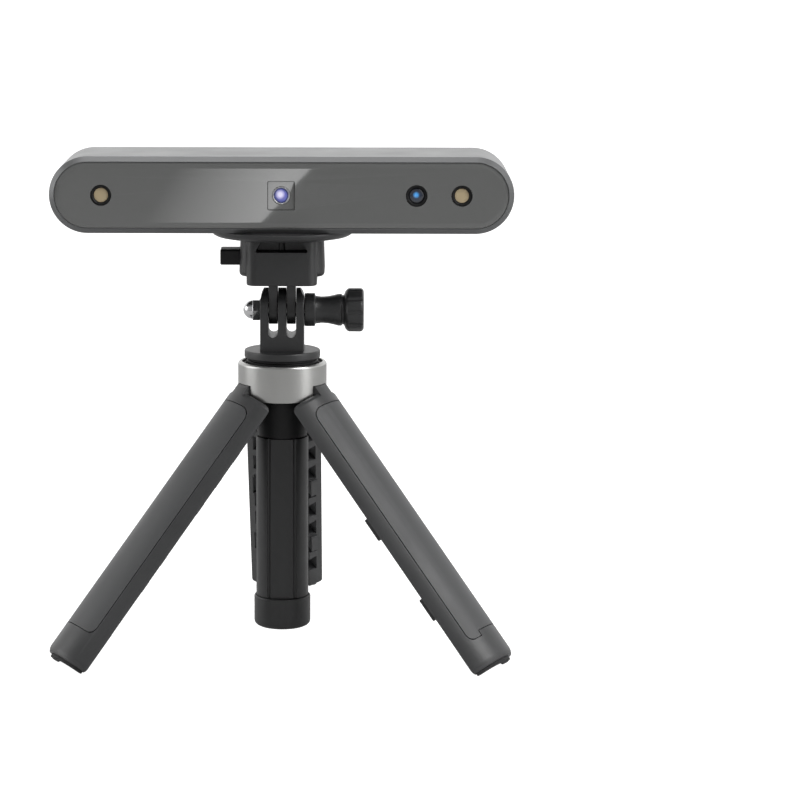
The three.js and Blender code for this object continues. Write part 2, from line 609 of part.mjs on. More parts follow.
// Column round the telescopic pole: three lobes behind the legs, flats between.
function columnOutline() {
  const shape = new THREE.Shape();
  [270, 30, 150].forEach((facet, index) => {
    const turn = (x, y) => {
      const angle = spin(facet);
      return [x * Math.cos(angle) - y * Math.sin(angle), x * Math.sin(angle) + y * Math.cos(angle)];
    };
    const start = turn(Math.sqrt(TUBE_RADIUS ** 2 - 25), -5);
    if (index === 0) {
      shape.moveTo(...start);
    } else {
      shape.lineTo(...start);
    }
    shape.lineTo(...turn(7.2, -4.8));
    shape.lineTo(...turn(7.2, -4.2));
    shape.lineTo(...turn(8.0, -3.7));
    shape.lineTo(...turn(8.2, 0));
    shape.lineTo(...turn(8.0, 3.7));
    shape.lineTo(...turn(7.2, 4.2));
    shape.lineTo(...turn(7.2, 4.8));
    const leave = Math.asin(5 / TUBE_RADIUS);
    shape.absarc(0, 0, TUBE_RADIUS, spin(facet) + leave, spin(facet + 120) - leave, false);
  });
  return shape;
}

const tubeBody = join(
  pulledZ(columnOutline(), TUBE_BOTTOM, NECK_BOTTOM - 0.1, 0, 6),
  disc(7.6, TUBE_BOTTOM - 6, TUBE_BOTTOM + 1, 36),
);
add('column_tube', surface(cut(tubeBody, disc(POLE_BORE, 0, NECK_BOTTOM + 1, 36))), 'polymer');

add('column_cap', surface(turned([[0, CAP_BOTTOM], [CAP_RADIUS - 1.6, CAP_BOTTOM],
  [CAP_RADIUS - 0.5, CAP_BOTTOM + 0.5],
  [CAP_RADIUS, CAP_BOTTOM + 1.7], [CAP_RADIUS, TUBE_BOTTOM - 0.4], [CAP_RADIUS - 0.3, TUBE_BOTTOM - 0.1],
  [7.7, TUBE_BOTTOM - 0.1], [7.7, CAP_BOTTOM + 3], [0, CAP_BOTTOM + 3]], 36)), 'polymer');

// ---- telescopic pole ----------------------------------------------------------------
const POLE_FLOOR = TUBE_BOTTOM - 4;
const STAGE_TOP = RECESS_FLOOR + 0.1;
add('pole_stage_lower', surface(turned([[0, POLE_FLOOR], [POLE_OUTER, POLE_FLOOR], [POLE_OUTER,
  STAGE_TOP - 0.4],
  [POLE_OUTER - 0.4, STAGE_TOP], [POLE_INNER + 0.25, STAGE_TOP], [POLE_INNER + 0.25, POLE_FLOOR + 1.5],
  [0, POLE_FLOOR + 1.5]], 24)), 'steel');
add('pole_stage_upper', surface(disc(POLE_INNER, POLE_FLOOR + 2, STAGE_TOP + 0.2, 24)), 'steel');
add('pole_head', surface(turned([[0, STAGE_TOP + 0.2], [11.4, STAGE_TOP + 0.4], [12.2, STAGE_TOP + 1.2],
  [12.2, BASE_BOTTOM - 0.8], [0, BASE_BOTTOM - 0.8]], 36)), 'dark');
add('pan_washer', surface(ring(STUD_RADIUS + 0.2, 11.6, BASE_BOTTOM - 0.75, BASE_BOTTOM - 0.05,
  28)), 'rubber');
add('top_stud', surface(disc(STUD_RADIUS, BASE_BOTTOM - 0.8, 105.6, 24)), 'steel');

// ---- legs -------------------------------------------------------------------------------
const LEG_END = HINGE_Z - LEG_LENGTH;
const PAD_HALF = 39.5;
const PAD_TOP = LEG_TOP - 4.5;
const PAD_END = LEG_END + 10.4;
const PAD_STEP = 2.0;
const PAD_STEP_Y = -4.9;
const SOLE_PROUD = 1.0;
const TRUSS_PITCH = 10.7;

// The leg is drawn folded (pointing down, centred on +X), then swung out.
function swingOut(body, azimuth) {
  return body
    .translate([-HINGE_RADIUS, 0, -HINGE_Z])
    .rotate([0, -LEG_SPREAD, 0])
    .translate([HINGE_RADIUS, 0, HINGE_Z])
    .rotate([0, 0, azimuth]);
}

// What the grip pad fills: one lower corner and the upper corners are cut off,
// and past PAD_STEP_Y its lower end is PAD_STEP higher.
function padSpace(grow) {
  const side = LEG_OUTER * Math.sin(spin(PAD_HALF));
  const wall = pulledZ(sector(LEG_OUTER - 1.5 - grow, LEG_OUTER + 2, PAD_HALF + 4 * grow), PAD_END - grow,
    PAD_TOP + grow, 0, 7);
  const step = box(0, 30, PAD_STEP_Y + grow, 30, PAD_END - 10, PAD_END + PAD_STEP - grow);
  const corner = (hand, end, rise) => pulledX(polygon([[hand * (side + 1), end],
    [hand * (side - 3.2 + grow), end],
    [hand * (side + 0.2 + grow), end + rise], [hand * (side + 1), end + rise]]), 0, 30);
  const low = PAD_END - 0.3 - grow;
  const high = PAD_TOP + 0.3 + grow;
  return cut(wall, step, corner(-1, low, 3.6 - grow), corner(-1, high, -3.6), corner(1, high, -3.6));
}

function makeGrip() {
  const shell = pulledZ(sector(LEG_OUTER - 1.5, LEG_OUTER, PAD_HALF), PAD_END - 1, PAD_TOP + 1, 0, 7);
  return shell.intersect(padSpace(-0.15));
}

function trussPockets() {
  const top = LEG_TOP - 9;
  const count = Math.floor((top - (LEG_END + 9)) / (TRUSS_PITCH / 2));
  const halfWidth = 12.5;
  const rib = 0.75;
  const pieces = [];
  for (let step = 0; step < count - 1; step += 1) {
    const upper = top - step * TRUSS_PITCH / 2;
    const side = step % 2 === 0 ? 1 : -1;
    const triangle = polygon([
      [side * halfWidth, upper - rib * 1.6],
      [side * halfWidth, upper - TRUSS_PITCH + rib * 1.6],
      [-side * 6.6, upper - TRUSS_PITCH / 2],
    ]);
    pieces.push(pulledX(triangle, 2, 16, 1));
  }
  const core = pulledZ(sector(LEG_INNER - 3, LEG_OUTER - 2.3, 66), LEG_END, LEG_TOP, 0, 4);
  return pieces.map((piece) => piece.intersect(core));
}

// Small nubs on one side of each leg drop into sockets in the next leg.
const NUB_LENGTH = 8.3;
const NUB_SPOTS = [LEG_END + 23.4, LEG_END + 55.9];

function lockNubs() {
  return NUB_SPOTS.map((low) => box(10.4, 12.9, -0.9, 3.0, low, low + NUB_LENGTH).rotate([0, 0, -60]));
}

function lockSockets() {
  return NUB_SPOTS.map((low) => box(9.6, 13.4, -1.4, 1, low - 0.6,
    low + NUB_LENGTH + 0.6).rotate([0, 0, 60]));
}

const legSection = sector(LEG_INNER, LEG_OUTER, 60, LEG_SIDE_GAP);

// Everything a leg end may fill: turned outer edge, rounded side corners.
function legEnvelope() {
  const round = 2.6;
  const outside = turned([[0, LEG_END], [LEG_OUTER - 2.2, LEG_END], [LEG_OUTER - 0.8, LEG_END + 0.6],
    [LEG_OUTER - 0.1, LEG_END + 1.7], [LEG_OUTER + 0.6, LEG_END + 5], [LEG_OUTER + 0.6, LEG_TOP - 4],
    [LEG_OUTER - 0.2, LEG_TOP - 1.1], [LEG_OUTER - 1.2, LEG_TOP], [0, LEG_TOP]], 48);
  const corner = new THREE.Shape();
  corner.moveTo(-1, 1);
  corner.lineTo(-1, -round);
  corner.lineTo(0, -round);
  corner.absarc(round, -round, round, Math.PI, Math.PI / 2, true);
  corner.lineTo(round, 1);
  const tool = pulledX(corner, 2, 20, 4).translate([0, LEG_SIDE_GAP, 0]);
  const upper = tool.translate([0, 0, LEG_TOP]);
  const lower = tool.mirror([0, 0, 1]).translate([0, 0, LEG_END]);
  const tools = [upper, lower].flatMap((piece) => [
    piece.rotate([0, 0, -60]),
    piece.mirror([0, 1, 0]).rotate([0, 0, 60]),
  ]);
  return cut(outside, ...tools);
}

const envelope = legEnvelope();

// The lug fills the notch in the collar and carries the outer skin up to it.
function makeLug() {
  const fromHinge = [[-2.2, -6.6], [0.6, -6.6], [1.0, -7.6], [5.6, -7.6], [5.6, -4.6],
    [5.1, -2.56], [3.62, -1.3], [0, 0], [-2.2, 0]];
  const outline = polygon(fromHinge.map(([x, z]) => [HINGE_RADIUS + x, HINGE_Z + z]));
  const plate = pulledY(outline, -LUG_WIDTH / 2, LUG_WIDTH / 2);
  const knuckle = alongY(disc(LUG_RADIUS, -LUG_WIDTH / 2, LUG_WIDTH / 2, 20), HINGE_RADIUS, HINGE_Z);
  return join(plate, knuckle).intersect(disc(LEG_OUTER, LEG_TOP - 5, HINGE_Z + 5, 48));
}

// Room for the collar while the leg swings past it.
function collarRelief() {
  const room = ring(COLLAR_BORE - 0.3, COLLAR_RADIUS + 0.3, COLLAR_BOTTOM - 0.3, COLLAR_BOTTOM + 5, 30)
    .translate([-HINGE_RADIUS, 0, -HINGE_Z]);
  return [1, 0.85, 0.7, 0.5].map((share) => room
    .rotate([0, LEG_SPREAD * share, 0])
    .translate([HINGE_RADIUS, 0, HINGE_Z]));
}

function soleBlank(grow) {
  const section = sector(LEG_INNER + 0.6 - grow, LEG_OUTER - 1.9 + grow, 60, LEG_SIDE_GAP + 0.9 - grow);
  return pulledZ(section, LEG_END, LEG_END + SOLE_THICK + grow, 0, 7);
}

function makeLegFrame() {
  const blank = pulledZ(legSection, LEG_END + SOLE_PROUD, LEG_TOP, 0, 9);
  const pin = alongY(disc(PIN_RADIUS + 0.12, -20, 20, 10), HINGE_RADIUS, HINGE_Z);
  const body = cut(blank.intersect(envelope), ...collarRelief(), padSpace(0), soleBlank(0.06),
    ...trussPockets());
  return cut(join(body, makeLug(), ...lockNubs()), pin, ...lockSockets());
}

const belowFloor = box(-200, 200, -200, 200, FLOOR_Z - 50, FLOOR_Z);
const frame = makeLegFrame();
const grip = makeGrip();
const sole = soleBlank(0);
const pin = alongY(disc(PIN_RADIUS, -6.9, 6.9, 10), HINGE_RADIUS, HINGE_Z);

LEGS.forEach(({ name, azimuth }) => {
  add(`leg_frame_${name}`, surface(cut(swingOut(frame, azimuth), belowFloor)), 'polymer');
  add(`leg_grip_${name}`, surface(swingOut(grip, azimuth)), 'grip');
  add(`leg_sole_${name}`, surface(cut(swingOut(sole, azimuth), belowFloor)), 'rubber');
  add(`leg_pin_${name}`, surface(pin.rotate([0, 0, azimuth])), 'steel');
});

// ---- stand the part on the origin ----------------------------------------------
const bounds = new THREE.Box3().setFromObject(root);
const middle = bounds.getCenter(new THREE.Vector3());
root.children.forEach((mesh) => mesh.geometry.translate(-middle.x, -middle.y, -bounds.min.z));

export default root;
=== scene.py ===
"""Looks of the handheld scanner on its folding tripod grip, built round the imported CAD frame."""

import json
import math

import bmesh
import bpy
from mathutils import Matrix, Vector


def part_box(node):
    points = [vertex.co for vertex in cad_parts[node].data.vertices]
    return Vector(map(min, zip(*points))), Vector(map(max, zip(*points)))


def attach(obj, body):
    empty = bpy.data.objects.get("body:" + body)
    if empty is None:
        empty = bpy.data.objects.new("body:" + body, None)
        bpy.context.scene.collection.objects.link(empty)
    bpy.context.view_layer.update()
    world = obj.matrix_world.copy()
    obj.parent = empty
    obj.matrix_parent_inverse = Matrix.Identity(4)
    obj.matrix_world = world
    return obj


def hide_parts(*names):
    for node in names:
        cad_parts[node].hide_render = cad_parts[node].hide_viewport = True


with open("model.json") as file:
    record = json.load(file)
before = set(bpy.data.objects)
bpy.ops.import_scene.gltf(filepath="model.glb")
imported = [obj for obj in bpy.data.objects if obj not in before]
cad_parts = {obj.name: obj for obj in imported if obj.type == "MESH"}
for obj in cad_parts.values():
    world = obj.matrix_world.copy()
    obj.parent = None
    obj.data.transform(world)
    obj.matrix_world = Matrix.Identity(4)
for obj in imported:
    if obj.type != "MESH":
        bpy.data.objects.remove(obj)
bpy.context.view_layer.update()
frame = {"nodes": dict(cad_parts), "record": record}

# ---------------------------------------------------------------- dimensions, in millimetres and degrees
MM = 0.001
LEG_AZIMUTHS = {"left": 210.0, "right": 330.0, "back": 90.0}
LEG_SPREAD = 40.3
HINGE_RADIUS = 9.5
HINGE_Z = 88.8
LEG_LENGTH = 114.3
LEG_TOP = 83.8
LEG_INNER = 9.9
LEG_OUTER = 15.1
LEG_SIDE_GAP = 0.12
LUG_WIDTH = 7.2
LUG_RADIUS = 3.7
PIN_HOLE = 1.22
SOLE_THICK = 3.0
PAD_HALF = 39.5
PAD_STEP = 2.0
PAD_STEP_ANGLE = -18.9
SOLE_PROUD = 1.0
NUB_HEIGHTS = (23.4, 55.9)
NUB_LENGTH = 8.3
LEG_CORNER = 2.6
TRUSS_PITCH = 10.7
RIB = 1.2
LEG_END = HINGE_Z - LEG_LENGTH
PAD_TOP = LEG_TOP - 4.5
PAD_END = LEG_END + 10.4
PIVOT_Z = 114.9
TONGUE_MID = 3.06
TONGUE_HALF = 1.48
SLOT_HALF = 1.7
PRONG_HALF = 7.4
KNOB_FLUTES = 10
COLUMN_FACET = [(7.45, -5.0), (7.2, -4.75), (7.2, -4.25), (7.95, -3.75), (8.1, -2.4), (8.2, 0),
                (8.1, 2.4), (7.95, 3.75), (7.2, 4.25), (7.2, 4.75), (7.45, 5.0)]
HEAD_WALL = 3.0
CHAMFER = 1.6
SEAT_INSET = 1.78
PANEL_BORDER = 1.8
PANEL_FALL = 0.35
EYES = {"left": -59.9, "right": 59.9, "colour": 44.9}

# ---------------------------------------------------------------- studio, in metres and watts
STAGE_RADIUS = 4.0
WALL_HEIGHT = 3.0
WALL_GLOW = (0.15, 1.0)
FLOOR_GLOW = (0.1, 0.3)
SKY_LIGHT = 0.3
CARD_GLOW = 2.6
CARD_HEIGHT = 0.002
CARD_CORNERS = [(-0.30, -1.95), (0.005, -1.95), (-0.060, -1.05), (-0.30, -1.05)]
CARD_DARK_X = -0.13
CARD_BRIGHT_X = -0.035
CAMERA_SPOT = (0.0231, -1.050, 0.2653)
CAMERA_YAW = -1.26
CAMERA_PITCH = 9.81
CAMERA_LENS = 140.5
CAMERA_SHIFT = 0.147
LAMPS = [
    ("key", (0.75, -0.55, 0.95), (0.5, 0.5), 7.2),
    ("top", (-0.1, 0.15, 1.1), (0.7, 0.7), 5.2),
    ("left_strip", (-0.95, -0.05, 0.25), (0.6, 1.2), 4.0),
    ("right_strip", (0.80, -0.40, 0.25), (0.4, 1.1), 3.4),
]


def span(*nodes):
    """Middle and size of the CAD nodes' common box, in millimetres."""
    boxes = [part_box(node) for node in nodes]
    low = [min(box[0][i] for box in boxes) / MM for i in range(3)]
    high = [max(box[1][i] for box in boxes) / MM for i in range(3)]
    middle = Vector([(a + b) / 2 for a, b in zip(low, high)])
    size = Vector([b - a for a, b in zip(low, high)])
    return middle, size


AXIS_Y = span("collar")[0].y
HEAD, HEAD_SIZE = span("head_shell")
PANEL, PANEL_SIZE = span("front_panel")
COVER, COVER_SIZE = span("rear_cover")


# ---------------------------------------------------------------- materials
class Nodes:
    """A few short calls for building a material's node tree."""

    def __init__(self, name):
        self.material = bpy.data.materials.new(name)
        self.material.use_nodes = True
        self.tree = self.material.node_tree
        self.shader = self.tree.nodes["Principled BSDF"]
        self.place = self.tree.nodes.new("ShaderNodeTexCoord").outputs["Object"]

    def add(self, kind, inputs=None, **settings):
        node = self.tree.nodes.new("ShaderNode" + kind)
        for key, value in settings.items():
            setattr(node, key, value)
        for key, value in (inputs or {}).items():
            if isinstance(value, bpy.types.NodeSocket):
                self.tree.links.new(value, node.inputs[key])
            else:
                node.inputs[key].default_value = value
        return node

    def link(self, output, socket):
        self.tree.links.new(output, self.shader.inputs[socket])

    def stretched(self, scale):
        return self.add("Mapping", {"Vector": self.place, "Scale": scale}).outputs["Vector"]

    def noise(self, scale, detail=3.0, vector=None):
        inputs = {"Vector": vector or self.place, "Scale": scale, "Detail": detail, "Roughness": 0.55}
        return self.add("TexNoise", inputs).outputs["Fac"]

    def ramp(self, factor, low, high):
        inputs = {"Value": factor, "From Min": 0.3, "From Max": 0.7, "To Min": low, "To Max": high}
        return self.add("MapRange", inputs).outputs["Result"]

    def mix(self, factor, first, second):
        node = self.add("Mix", {"Factor": factor}, data_type="RGBA")
        for socket, value in ((node.inputs[6], first), (node.inputs[7], second)):
            if isinstance(value, bpy.types.NodeSocket):
                self.tree.links.new(value, socket)
            else:
                socket.default_value = (*value, 1.0)
        return node.outputs[2]

    def bump(self, height, distance):
        node = self.add("Bump", {"Height": height, "Distance": distance, "Strength": 1.0})
        self.link(node.outputs["Normal"], "Normal")


def tinted(colour, factor):
    return tuple(min(1.0, channel * factor) for channel in colour)


def surface_material(name, colour, rough, metal=0.0, grain=2400.0, depth=0.01, vary=0.1, coat=0.0,
                     brush=None, edge=1.35, specular=0.5):
    """Moulded, anodised or brushed surface: grain, patchy gloss and sharp edges made lighter in patches."""
    nodes = Nodes(name)
    shader = nodes.shader
    shader.inputs["Metallic"].default_value = metal
    shader.inputs["Specular IOR Level"].default_value = specular
    if coat:
        shader.inputs["Coat Weight"].default_value = coat
        shader.inputs["Coat Roughness"].default_value = 0.02
    fine = nodes.noise(grain, 2.0, vector=nodes.stretched(brush) if brush else None)
    broad = nodes.noise(55.0, 4.0)
    edge_patch_noise = nodes.noise(420.0, 3.0)
    # Sharp convex edges are made lighter by the edge factor, in patches set by a noise.
    edge_pointiness = nodes.add("NewGeometry").outputs["Pointiness"]
    sharp = nodes.add("MapRange", {"Value": edge_pointiness, "From Min": 0.52, "From Max": 0.6}).outputs["Result"]
    patchy = nodes.add("Math", {0: sharp, 1: edge_patch_noise}, operation="MULTIPLY").outputs[0]
    tone = nodes.mix(nodes.ramp(broad, 0.0, 1.0), tinted(colour, 1 - vary / 2), tinted(colour, 1 + vary / 2))
    speckle = nodes.mix(nodes.ramp(fine, 0.0, 0.35), tone, tinted(colour, 1 - vary))
    final = nodes.mix(patchy, speckle, tinted(colour, edge))
    nodes.link(final, "Base Color")
    nodes.link(nodes.ramp(broad, rough * 0.9, rough * 1.12), "Roughness")
    nodes.bump(fine, depth * MM)
    return nodes.material


def lens_material(name, centre, rim, painted_highlight, spot, reach):
    """Coated glass over dark barrel rings, with a painted highlight: a bright spot of colour at (x, z) =
    spot. The lens colour also feeds a faint emission, a painted glow.
    """
    nodes = Nodes(name)
    nodes.shader.inputs["Coat Weight"].default_value = 1.0
    nodes.shader.inputs["Coat Roughness"].default_value = 0.02
    whole = nodes.tree.nodes.new("ShaderNodeTexCoord").outputs["Generated"]
    flat = nodes.add("VectorMath", {0: whole, 1: (1, 0, 1)}, operation="MULTIPLY").outputs["Vector"]
    radius = nodes.add("VectorMath", {0: flat, 1: (0.5, 0, 0.5)}, operation="DISTANCE").outputs["Value"]
    outward = nodes.add("MapRange", {"Value": radius, "From Max": 0.46}).outputs["Result"]
    waves = nodes.add("Math", {0: outward, 1: 16.0}, operation="MULTIPLY").outputs[0]
    ripple = nodes.add("Math", {0: waves}, operation="SINE").outputs[0]
    rings = nodes.add("MapRange", {"Value": ripple, "From Min": -1.0, "To Max": 0.3}).outputs["Result"]
    barrel = nodes.mix(rings, nodes.mix(outward, centre, rim), tinted(rim, 0.3))
    # Painted highlight: a lighter spot of colour mixed in around spot, not a reflection.
    away = nodes.add("VectorMath", {0: flat, 1: (spot[0], 0, spot[1])}, operation="DISTANCE").outputs["Value"]
    painted_highlight_mask = nodes.add("MapRange", {"Value": away, "From Min": reach, "From Max": reach / 3}).outputs["Result"]
    colour = nodes.mix(painted_highlight_mask, barrel, painted_highlight)
    nodes.link(colour, "Base Color")
    # The colour, painted highlight included, also feeds the emission, so the lens glows faintly: painted
    # light, though it is no lamp.
    nodes.link(colour, "Emission Color")
    nodes.shader.inputs["Emission Strength"].default_value = 0.2
    nodes.link(nodes.ramp(nodes.noise(900.0), 0.05, 0.09), "Roughness")
    return nodes.material


MATERIALS = {
    "shell": surface_material("anodised_grey", (0.122, 0.124, 0.126), 0.36, 0.35, 5200.0, 0.006, 0.06,
                              edge=1.2),
    "panel": surface_material("front_window_grey", (0.105, 0.107, 0.105), 0.02, 0.0, 700.0, 0.0001, 0.04,
                              coat=1.0, edge=1.1),
    "cover": surface_material("rear_cover_black", (0.03, 0.031, 0.033), 0.5, 0.0, 3400.0, 0.012),
    "polymer": surface_material("glass_filled_nylon", (0.019, 0.0193, 0.02), 0.4, 0.0, 2600.0, 0.01),
    "leg": surface_material("leg_nylon", (0.035, 0.0355, 0.0365), 0.42, 0.0, 2600.0, 0.01),
    "dark": surface_material("moulded_black", (0.006, 0.006, 0.0065), 0.5, 0.0, 2600.0, 0.008, specular=0.3),
    "grip": surface_material("soft_touch_grey", (0.055, 0.056, 0.0575), 0.5, 0.0, 3800.0, 0.01, 0.08),
    "rubber": surface_material("matt_rubber", (0.02, 0.02, 0.021), 0.8, 0.0, 1900.0, 0.02),
    "steel": surface_material("satin_steel", (0.5, 0.5, 0.5), 0.28, 1.0, 900.0, 0.003,
                              brush=(1.0, 1.0, 0.06)),
    "chrome": surface_material("polished_chrome", (0.62, 0.62, 0.63), 0.07, 1.0, 600.0, 0.0004, 0.03),
    "collar": surface_material("turned_silver", (0.42, 0.42, 0.41), 0.3, 1.0, 1500.0, 0.004, 0.05,
                               brush=(0.05, 0.05, 1.0), edge=1.1),
    "brass": surface_material("turned_brass", (0.6, 0.42, 0.16), 0.3, 1.0, 1200.0, 0.004),
    "board": surface_material("solder_mask", (0.02, 0.11, 0.05), 0.4, 0.0, 1800.0, 0.01),
    "window": surface_material("infrared_window", (0.44, 0.35, 0.21), 0.3, 0.0, 1800.0, 0.002, 0.08,
                               coat=0.4),
    # The third colour and the spot of each lens are a painted highlight, and both lenses glow faintly.
    "lens": lens_material("camera_lens", (0.01, 0.03, 0.08), (0.006, 0.008, 0.014), (0.06, 0.32, 0.75),
                          (0.47, 0.56), 0.24),
    "projector": lens_material("projector_lens", (0.2, 0.17, 0.6), (0.1, 0.12, 0.45), (0.75, 0.72, 0.95),
                               (0.42, 0.58), 0.4),
    "light": surface_material("light_pipe", (0.6, 0.75, 0.66), 0.25, 0.0, 900.0, 0.002),
}


# ---------------------------------------------------------------- mesh helpers
def new_object(name, data):
    thing = bpy.data.objects.new(name, data)
    bpy.context.scene.collection.objects.link(thing)
    return thing


def from_bmesh(name, bm):
    bmesh.ops.recalc_face_normals(bm, faces=bm.faces)
    mesh = bpy.data.meshes.new(name)
    bm.to_mesh(mesh)
    bm.free()
    return new_object(name, mesh)


def lathe(name, profile, segments=72):
    """Closed round body about Z from (radius, height) pairs in millimetres, bottom to top."""
    bm = bmesh.new()
    rings = []
    for radius, height in profile:
        if radius < 1e-6:
            rings.append([bm.verts.new((0, 0, height * MM))])
            continue
        ring = []
        for step in range(segments):
            angle = 2 * math.pi * step / segments
            ring.append(bm.verts.new((radius * math.cos(angle) * MM, radius * math.sin(angle) * MM,
                                      height * MM)))
        rings.append(ring)
    closed = profile[0][0] > 1e-6
    pairs = list(zip(rings, rings[1:])) + ([(rings[-1], rings[0])] if closed else [])
    for lower, upper in pairs:
        for step in range(segments):
            after = (step + 1) % segments
            corners = [lower[step % len(lower)], lower[after % len(lower)],
                       upper[after % len(upper)], upper[step % len(upper)]]
            unique = list(dict.fromkeys(corners))
            if len(unique) > 2:
                bm.faces.new(unique)
    return from_bmesh(name, bm)


def prism(name, outline, low, high, rim=0.0, steps=3):
    """Outline of (x, y) points in millimetres pulled along Z, its two end rims rounded by rim."""
    bm = bmesh.new()
    floor = [bm.verts.new((x * MM, y * MM, low * MM)) for x, y in outline]
    face = bm.faces.new(floor)
    raised = bmesh.ops.extrude_face_region(bm, geom=[face])
    moved = [item for item in raised["geom"] if isinstance(item, bmesh.types.BMVert)]
    bmesh.ops.translate(bm, verts=moved, vec=(0, 0, (high - low) * MM))
    if rim:
        ends = [edge for edge in bm.edges
                if abs(edge.verts[0].co.z - edge.verts[1].co.z) < 1e-7]
        bmesh.ops.bevel(bm, geom=ends, offset=rim * MM, segments=steps, profile=0.5, affect="EDGES",
                        clamp_overlap=True)
    return from_bmesh(name, bm)


def box(name, x0, x1, y0, y1, z0, z1, rim=0.0):
    return prism(name, [(x0, y0), (x1, y0), (x1, y1), (x0, y1)], z0, z1, rim, steps=2)


def arc(cx, cy, radius, start, end, count):
    points = []
    for i in range(count + 1):
        angle = math.radians(start + (end - start) * i / count)
        points.append((cx + radius * math.cos(angle), cy + radius * math.sin(angle)))
    return points


def stadium(width, height, count=40):
    r = height / 2
    reach = width / 2 - r
    return arc(reach, 0, r, -90, 90, count) + arc(-reach, 0, r, 90, 270, count)


def rounded(width, height, radius, count=8):
    w, h = width / 2 - radius, height / 2 - radius
    return (arc(w, -h, radius, -90, 0, count) + arc(w, h, radius, 0, 90, count)
            + arc(-w, h, radius, 90, 180, count) + arc(-w, -h, radius, 180, 270, count))


def circle(radius, count=48):
    return arc(0, 0, radius, 0, 360 * (count - 1) / count, count - 1)


def shifted(points, dx, dy):
    return [(x + dx, y + dy) for x, y in points]


def bake(thing):
    """The modifiers so far become the mesh."""
    evaluated = thing.evaluated_get(bpy.context.evaluated_depsgraph_get())
    mesh = bpy.data.meshes.new_from_object(evaluated)
    thing.modifiers.clear()
    thing.data = mesh
    return thing


def combine(target, tools, operation="DIFFERENCE"):
    for tool in tools:
        step = target.modifiers.new("shape", "BOOLEAN")
        step.operation = operation
        step.solver = "MANIFOLD"
        step.object = tool
    bake(target)
    for tool in tools:
        bpy.data.objects.remove(tool)
    return target


def place(thing, matrix):
    thing.data.transform(matrix)
    return thing


def turn(angle, axis):
    return Matrix.Rotation(math.radians(angle), 4, axis)


def shift(x, y, z):
    return Matrix.Translation((x * MM, y * MM, z * MM))


# Drawn as (x, z) and pulled to -Y.
LAY_BACK = turn(90, "X")
# Drawn as (x, -z) and pulled to +Y.
FACE_BACK = turn(-90, "X")
# Pulled along Z, then laid along +X.
LAY_RIGHT = turn(90, "Y")
# Drawn as (y, z) and pulled along +X.
YZ_TO_XYZ = Matrix(((0, 0, 1, 0), (1, 0, 0, 0), (0, 1, 0, 0), (0, 0, 0, 1)))


def dress(thing, body, slot, nodes, soften=0.0, angle=32, steps=2, finish=None):
    """Rounds the edges, smooths the shading, and hands the piece to the frame."""
    thing.data.materials.clear()
    thing.data.materials.append(MATERIALS[finish or slot])
    bm = bmesh.new()
    bm.from_mesh(thing.data)
    bmesh.ops.remove_doubles(bm, verts=bm.verts, dist=0.004 * MM)
    bmesh.ops.dissolve_limit(bm, angle_limit=math.radians(0.6), verts=bm.verts, edges=bm.edges)
    bm.to_mesh(thing.data)
    bm.free()
    if soften:
        bevel = thing.modifiers.new("edges", "BEVEL")
        bevel.width = soften * MM
        bevel.segments = steps
        bevel.limit_method = "ANGLE"
        bevel.angle_limit = math.radians(angle)
        bevel.miter_outer = "MITER_ARC"
        bake(thing)
    thing.data.shade_smooth()
    thing.data.set_sharp_from_angle(angle=math.radians(angle))
    thing.modifiers.new("shading", "WEIGHTED_NORMAL").keep_sharp = True
    bake(thing)
    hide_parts(*nodes)
    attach(thing, body)
    return thing


def loft(name, rings):
    """Closed body through outlines with the same number of points: [(points, height), ...]."""
    bm = bmesh.new()
    layers = [[bm.verts.new((x * MM, y * MM, height * MM)) for x, y in points] for points, height in rings]
    count = len(layers[0])
    for lower, upper in zip(layers, layers[1:]):
        for step in range(count):
            after = (step + 1) % count
            bm.faces.new((lower[step], lower[after], upper[after], upper[step]))
    bm.faces.new(layers[0])
    bm.faces.new(layers[-1])
    return from_bmesh(name, bm)


def sector(inner, outer, half, gap=0.0, count=30):
    """Part of a tube wall centred on +X; its sides stay gap inside the planes at +-half degrees."""
    far = half - math.degrees(math.asin(gap / outer))
    near = half - math.degrees(math.asin(gap / inner))
    return arc(0, 0, outer, -far, far, count) + arc(0, 0, inner, near, -near, count)


def pin_along_y(name, radius, y0, y1, x, z, count=40):
    return place(prism(name, circle(radius, count), y0, y1), shift(x, 0, z) @ FACE_BACK)


# ---------------------------------------------------------------- scanner head
def forward(thing, y):
    """Drawn facing +Z about 0,0; set into the head facing -Y."""
    return place(thing, shift(HEAD.x, y, HEAD.z) @ LAY_BACK)


def make_head_shell():
    half = HEAD_SIZE.y / 2
    wide, high = HEAD_SIZE.x, HEAD_SIZE.z
    full = stadium(wide, high)
    narrow = stadium(wide - 2 * CHAMFER, high - 2 * CHAMFER)
    rings = [(narrow, -half), (full, CHAMFER - half), (full, half - CHAMFER), (narrow, half)]
    shell = loft("head_shell_body", rings)
    seat = stadium(wide - 2 * SEAT_INSET, high - 2 * SEAT_INSET)
    tools = [
        prism("hollow", stadium(wide - 2 * HEAD_WALL, high - 2 * HEAD_WALL), -half - 1, half + 1),
        prism("front_seat", seat, half - PANEL_SIZE.y - 0.1, half + 1),
        prism("rear_seat", seat, -half - 1, -half + 2.6),
    ]
    combine(shell, tools)
    forward(shell, HEAD.y)
    mouth = place(prism("thread_hole", circle(4.55), -1, 5), shift(HEAD.x, AXIS_Y, HEAD.z - high / 2))
    combine(shell, [mouth])
    dress(shell, "head", "shell", ["head_shell"], soften=0.18, steps=3)


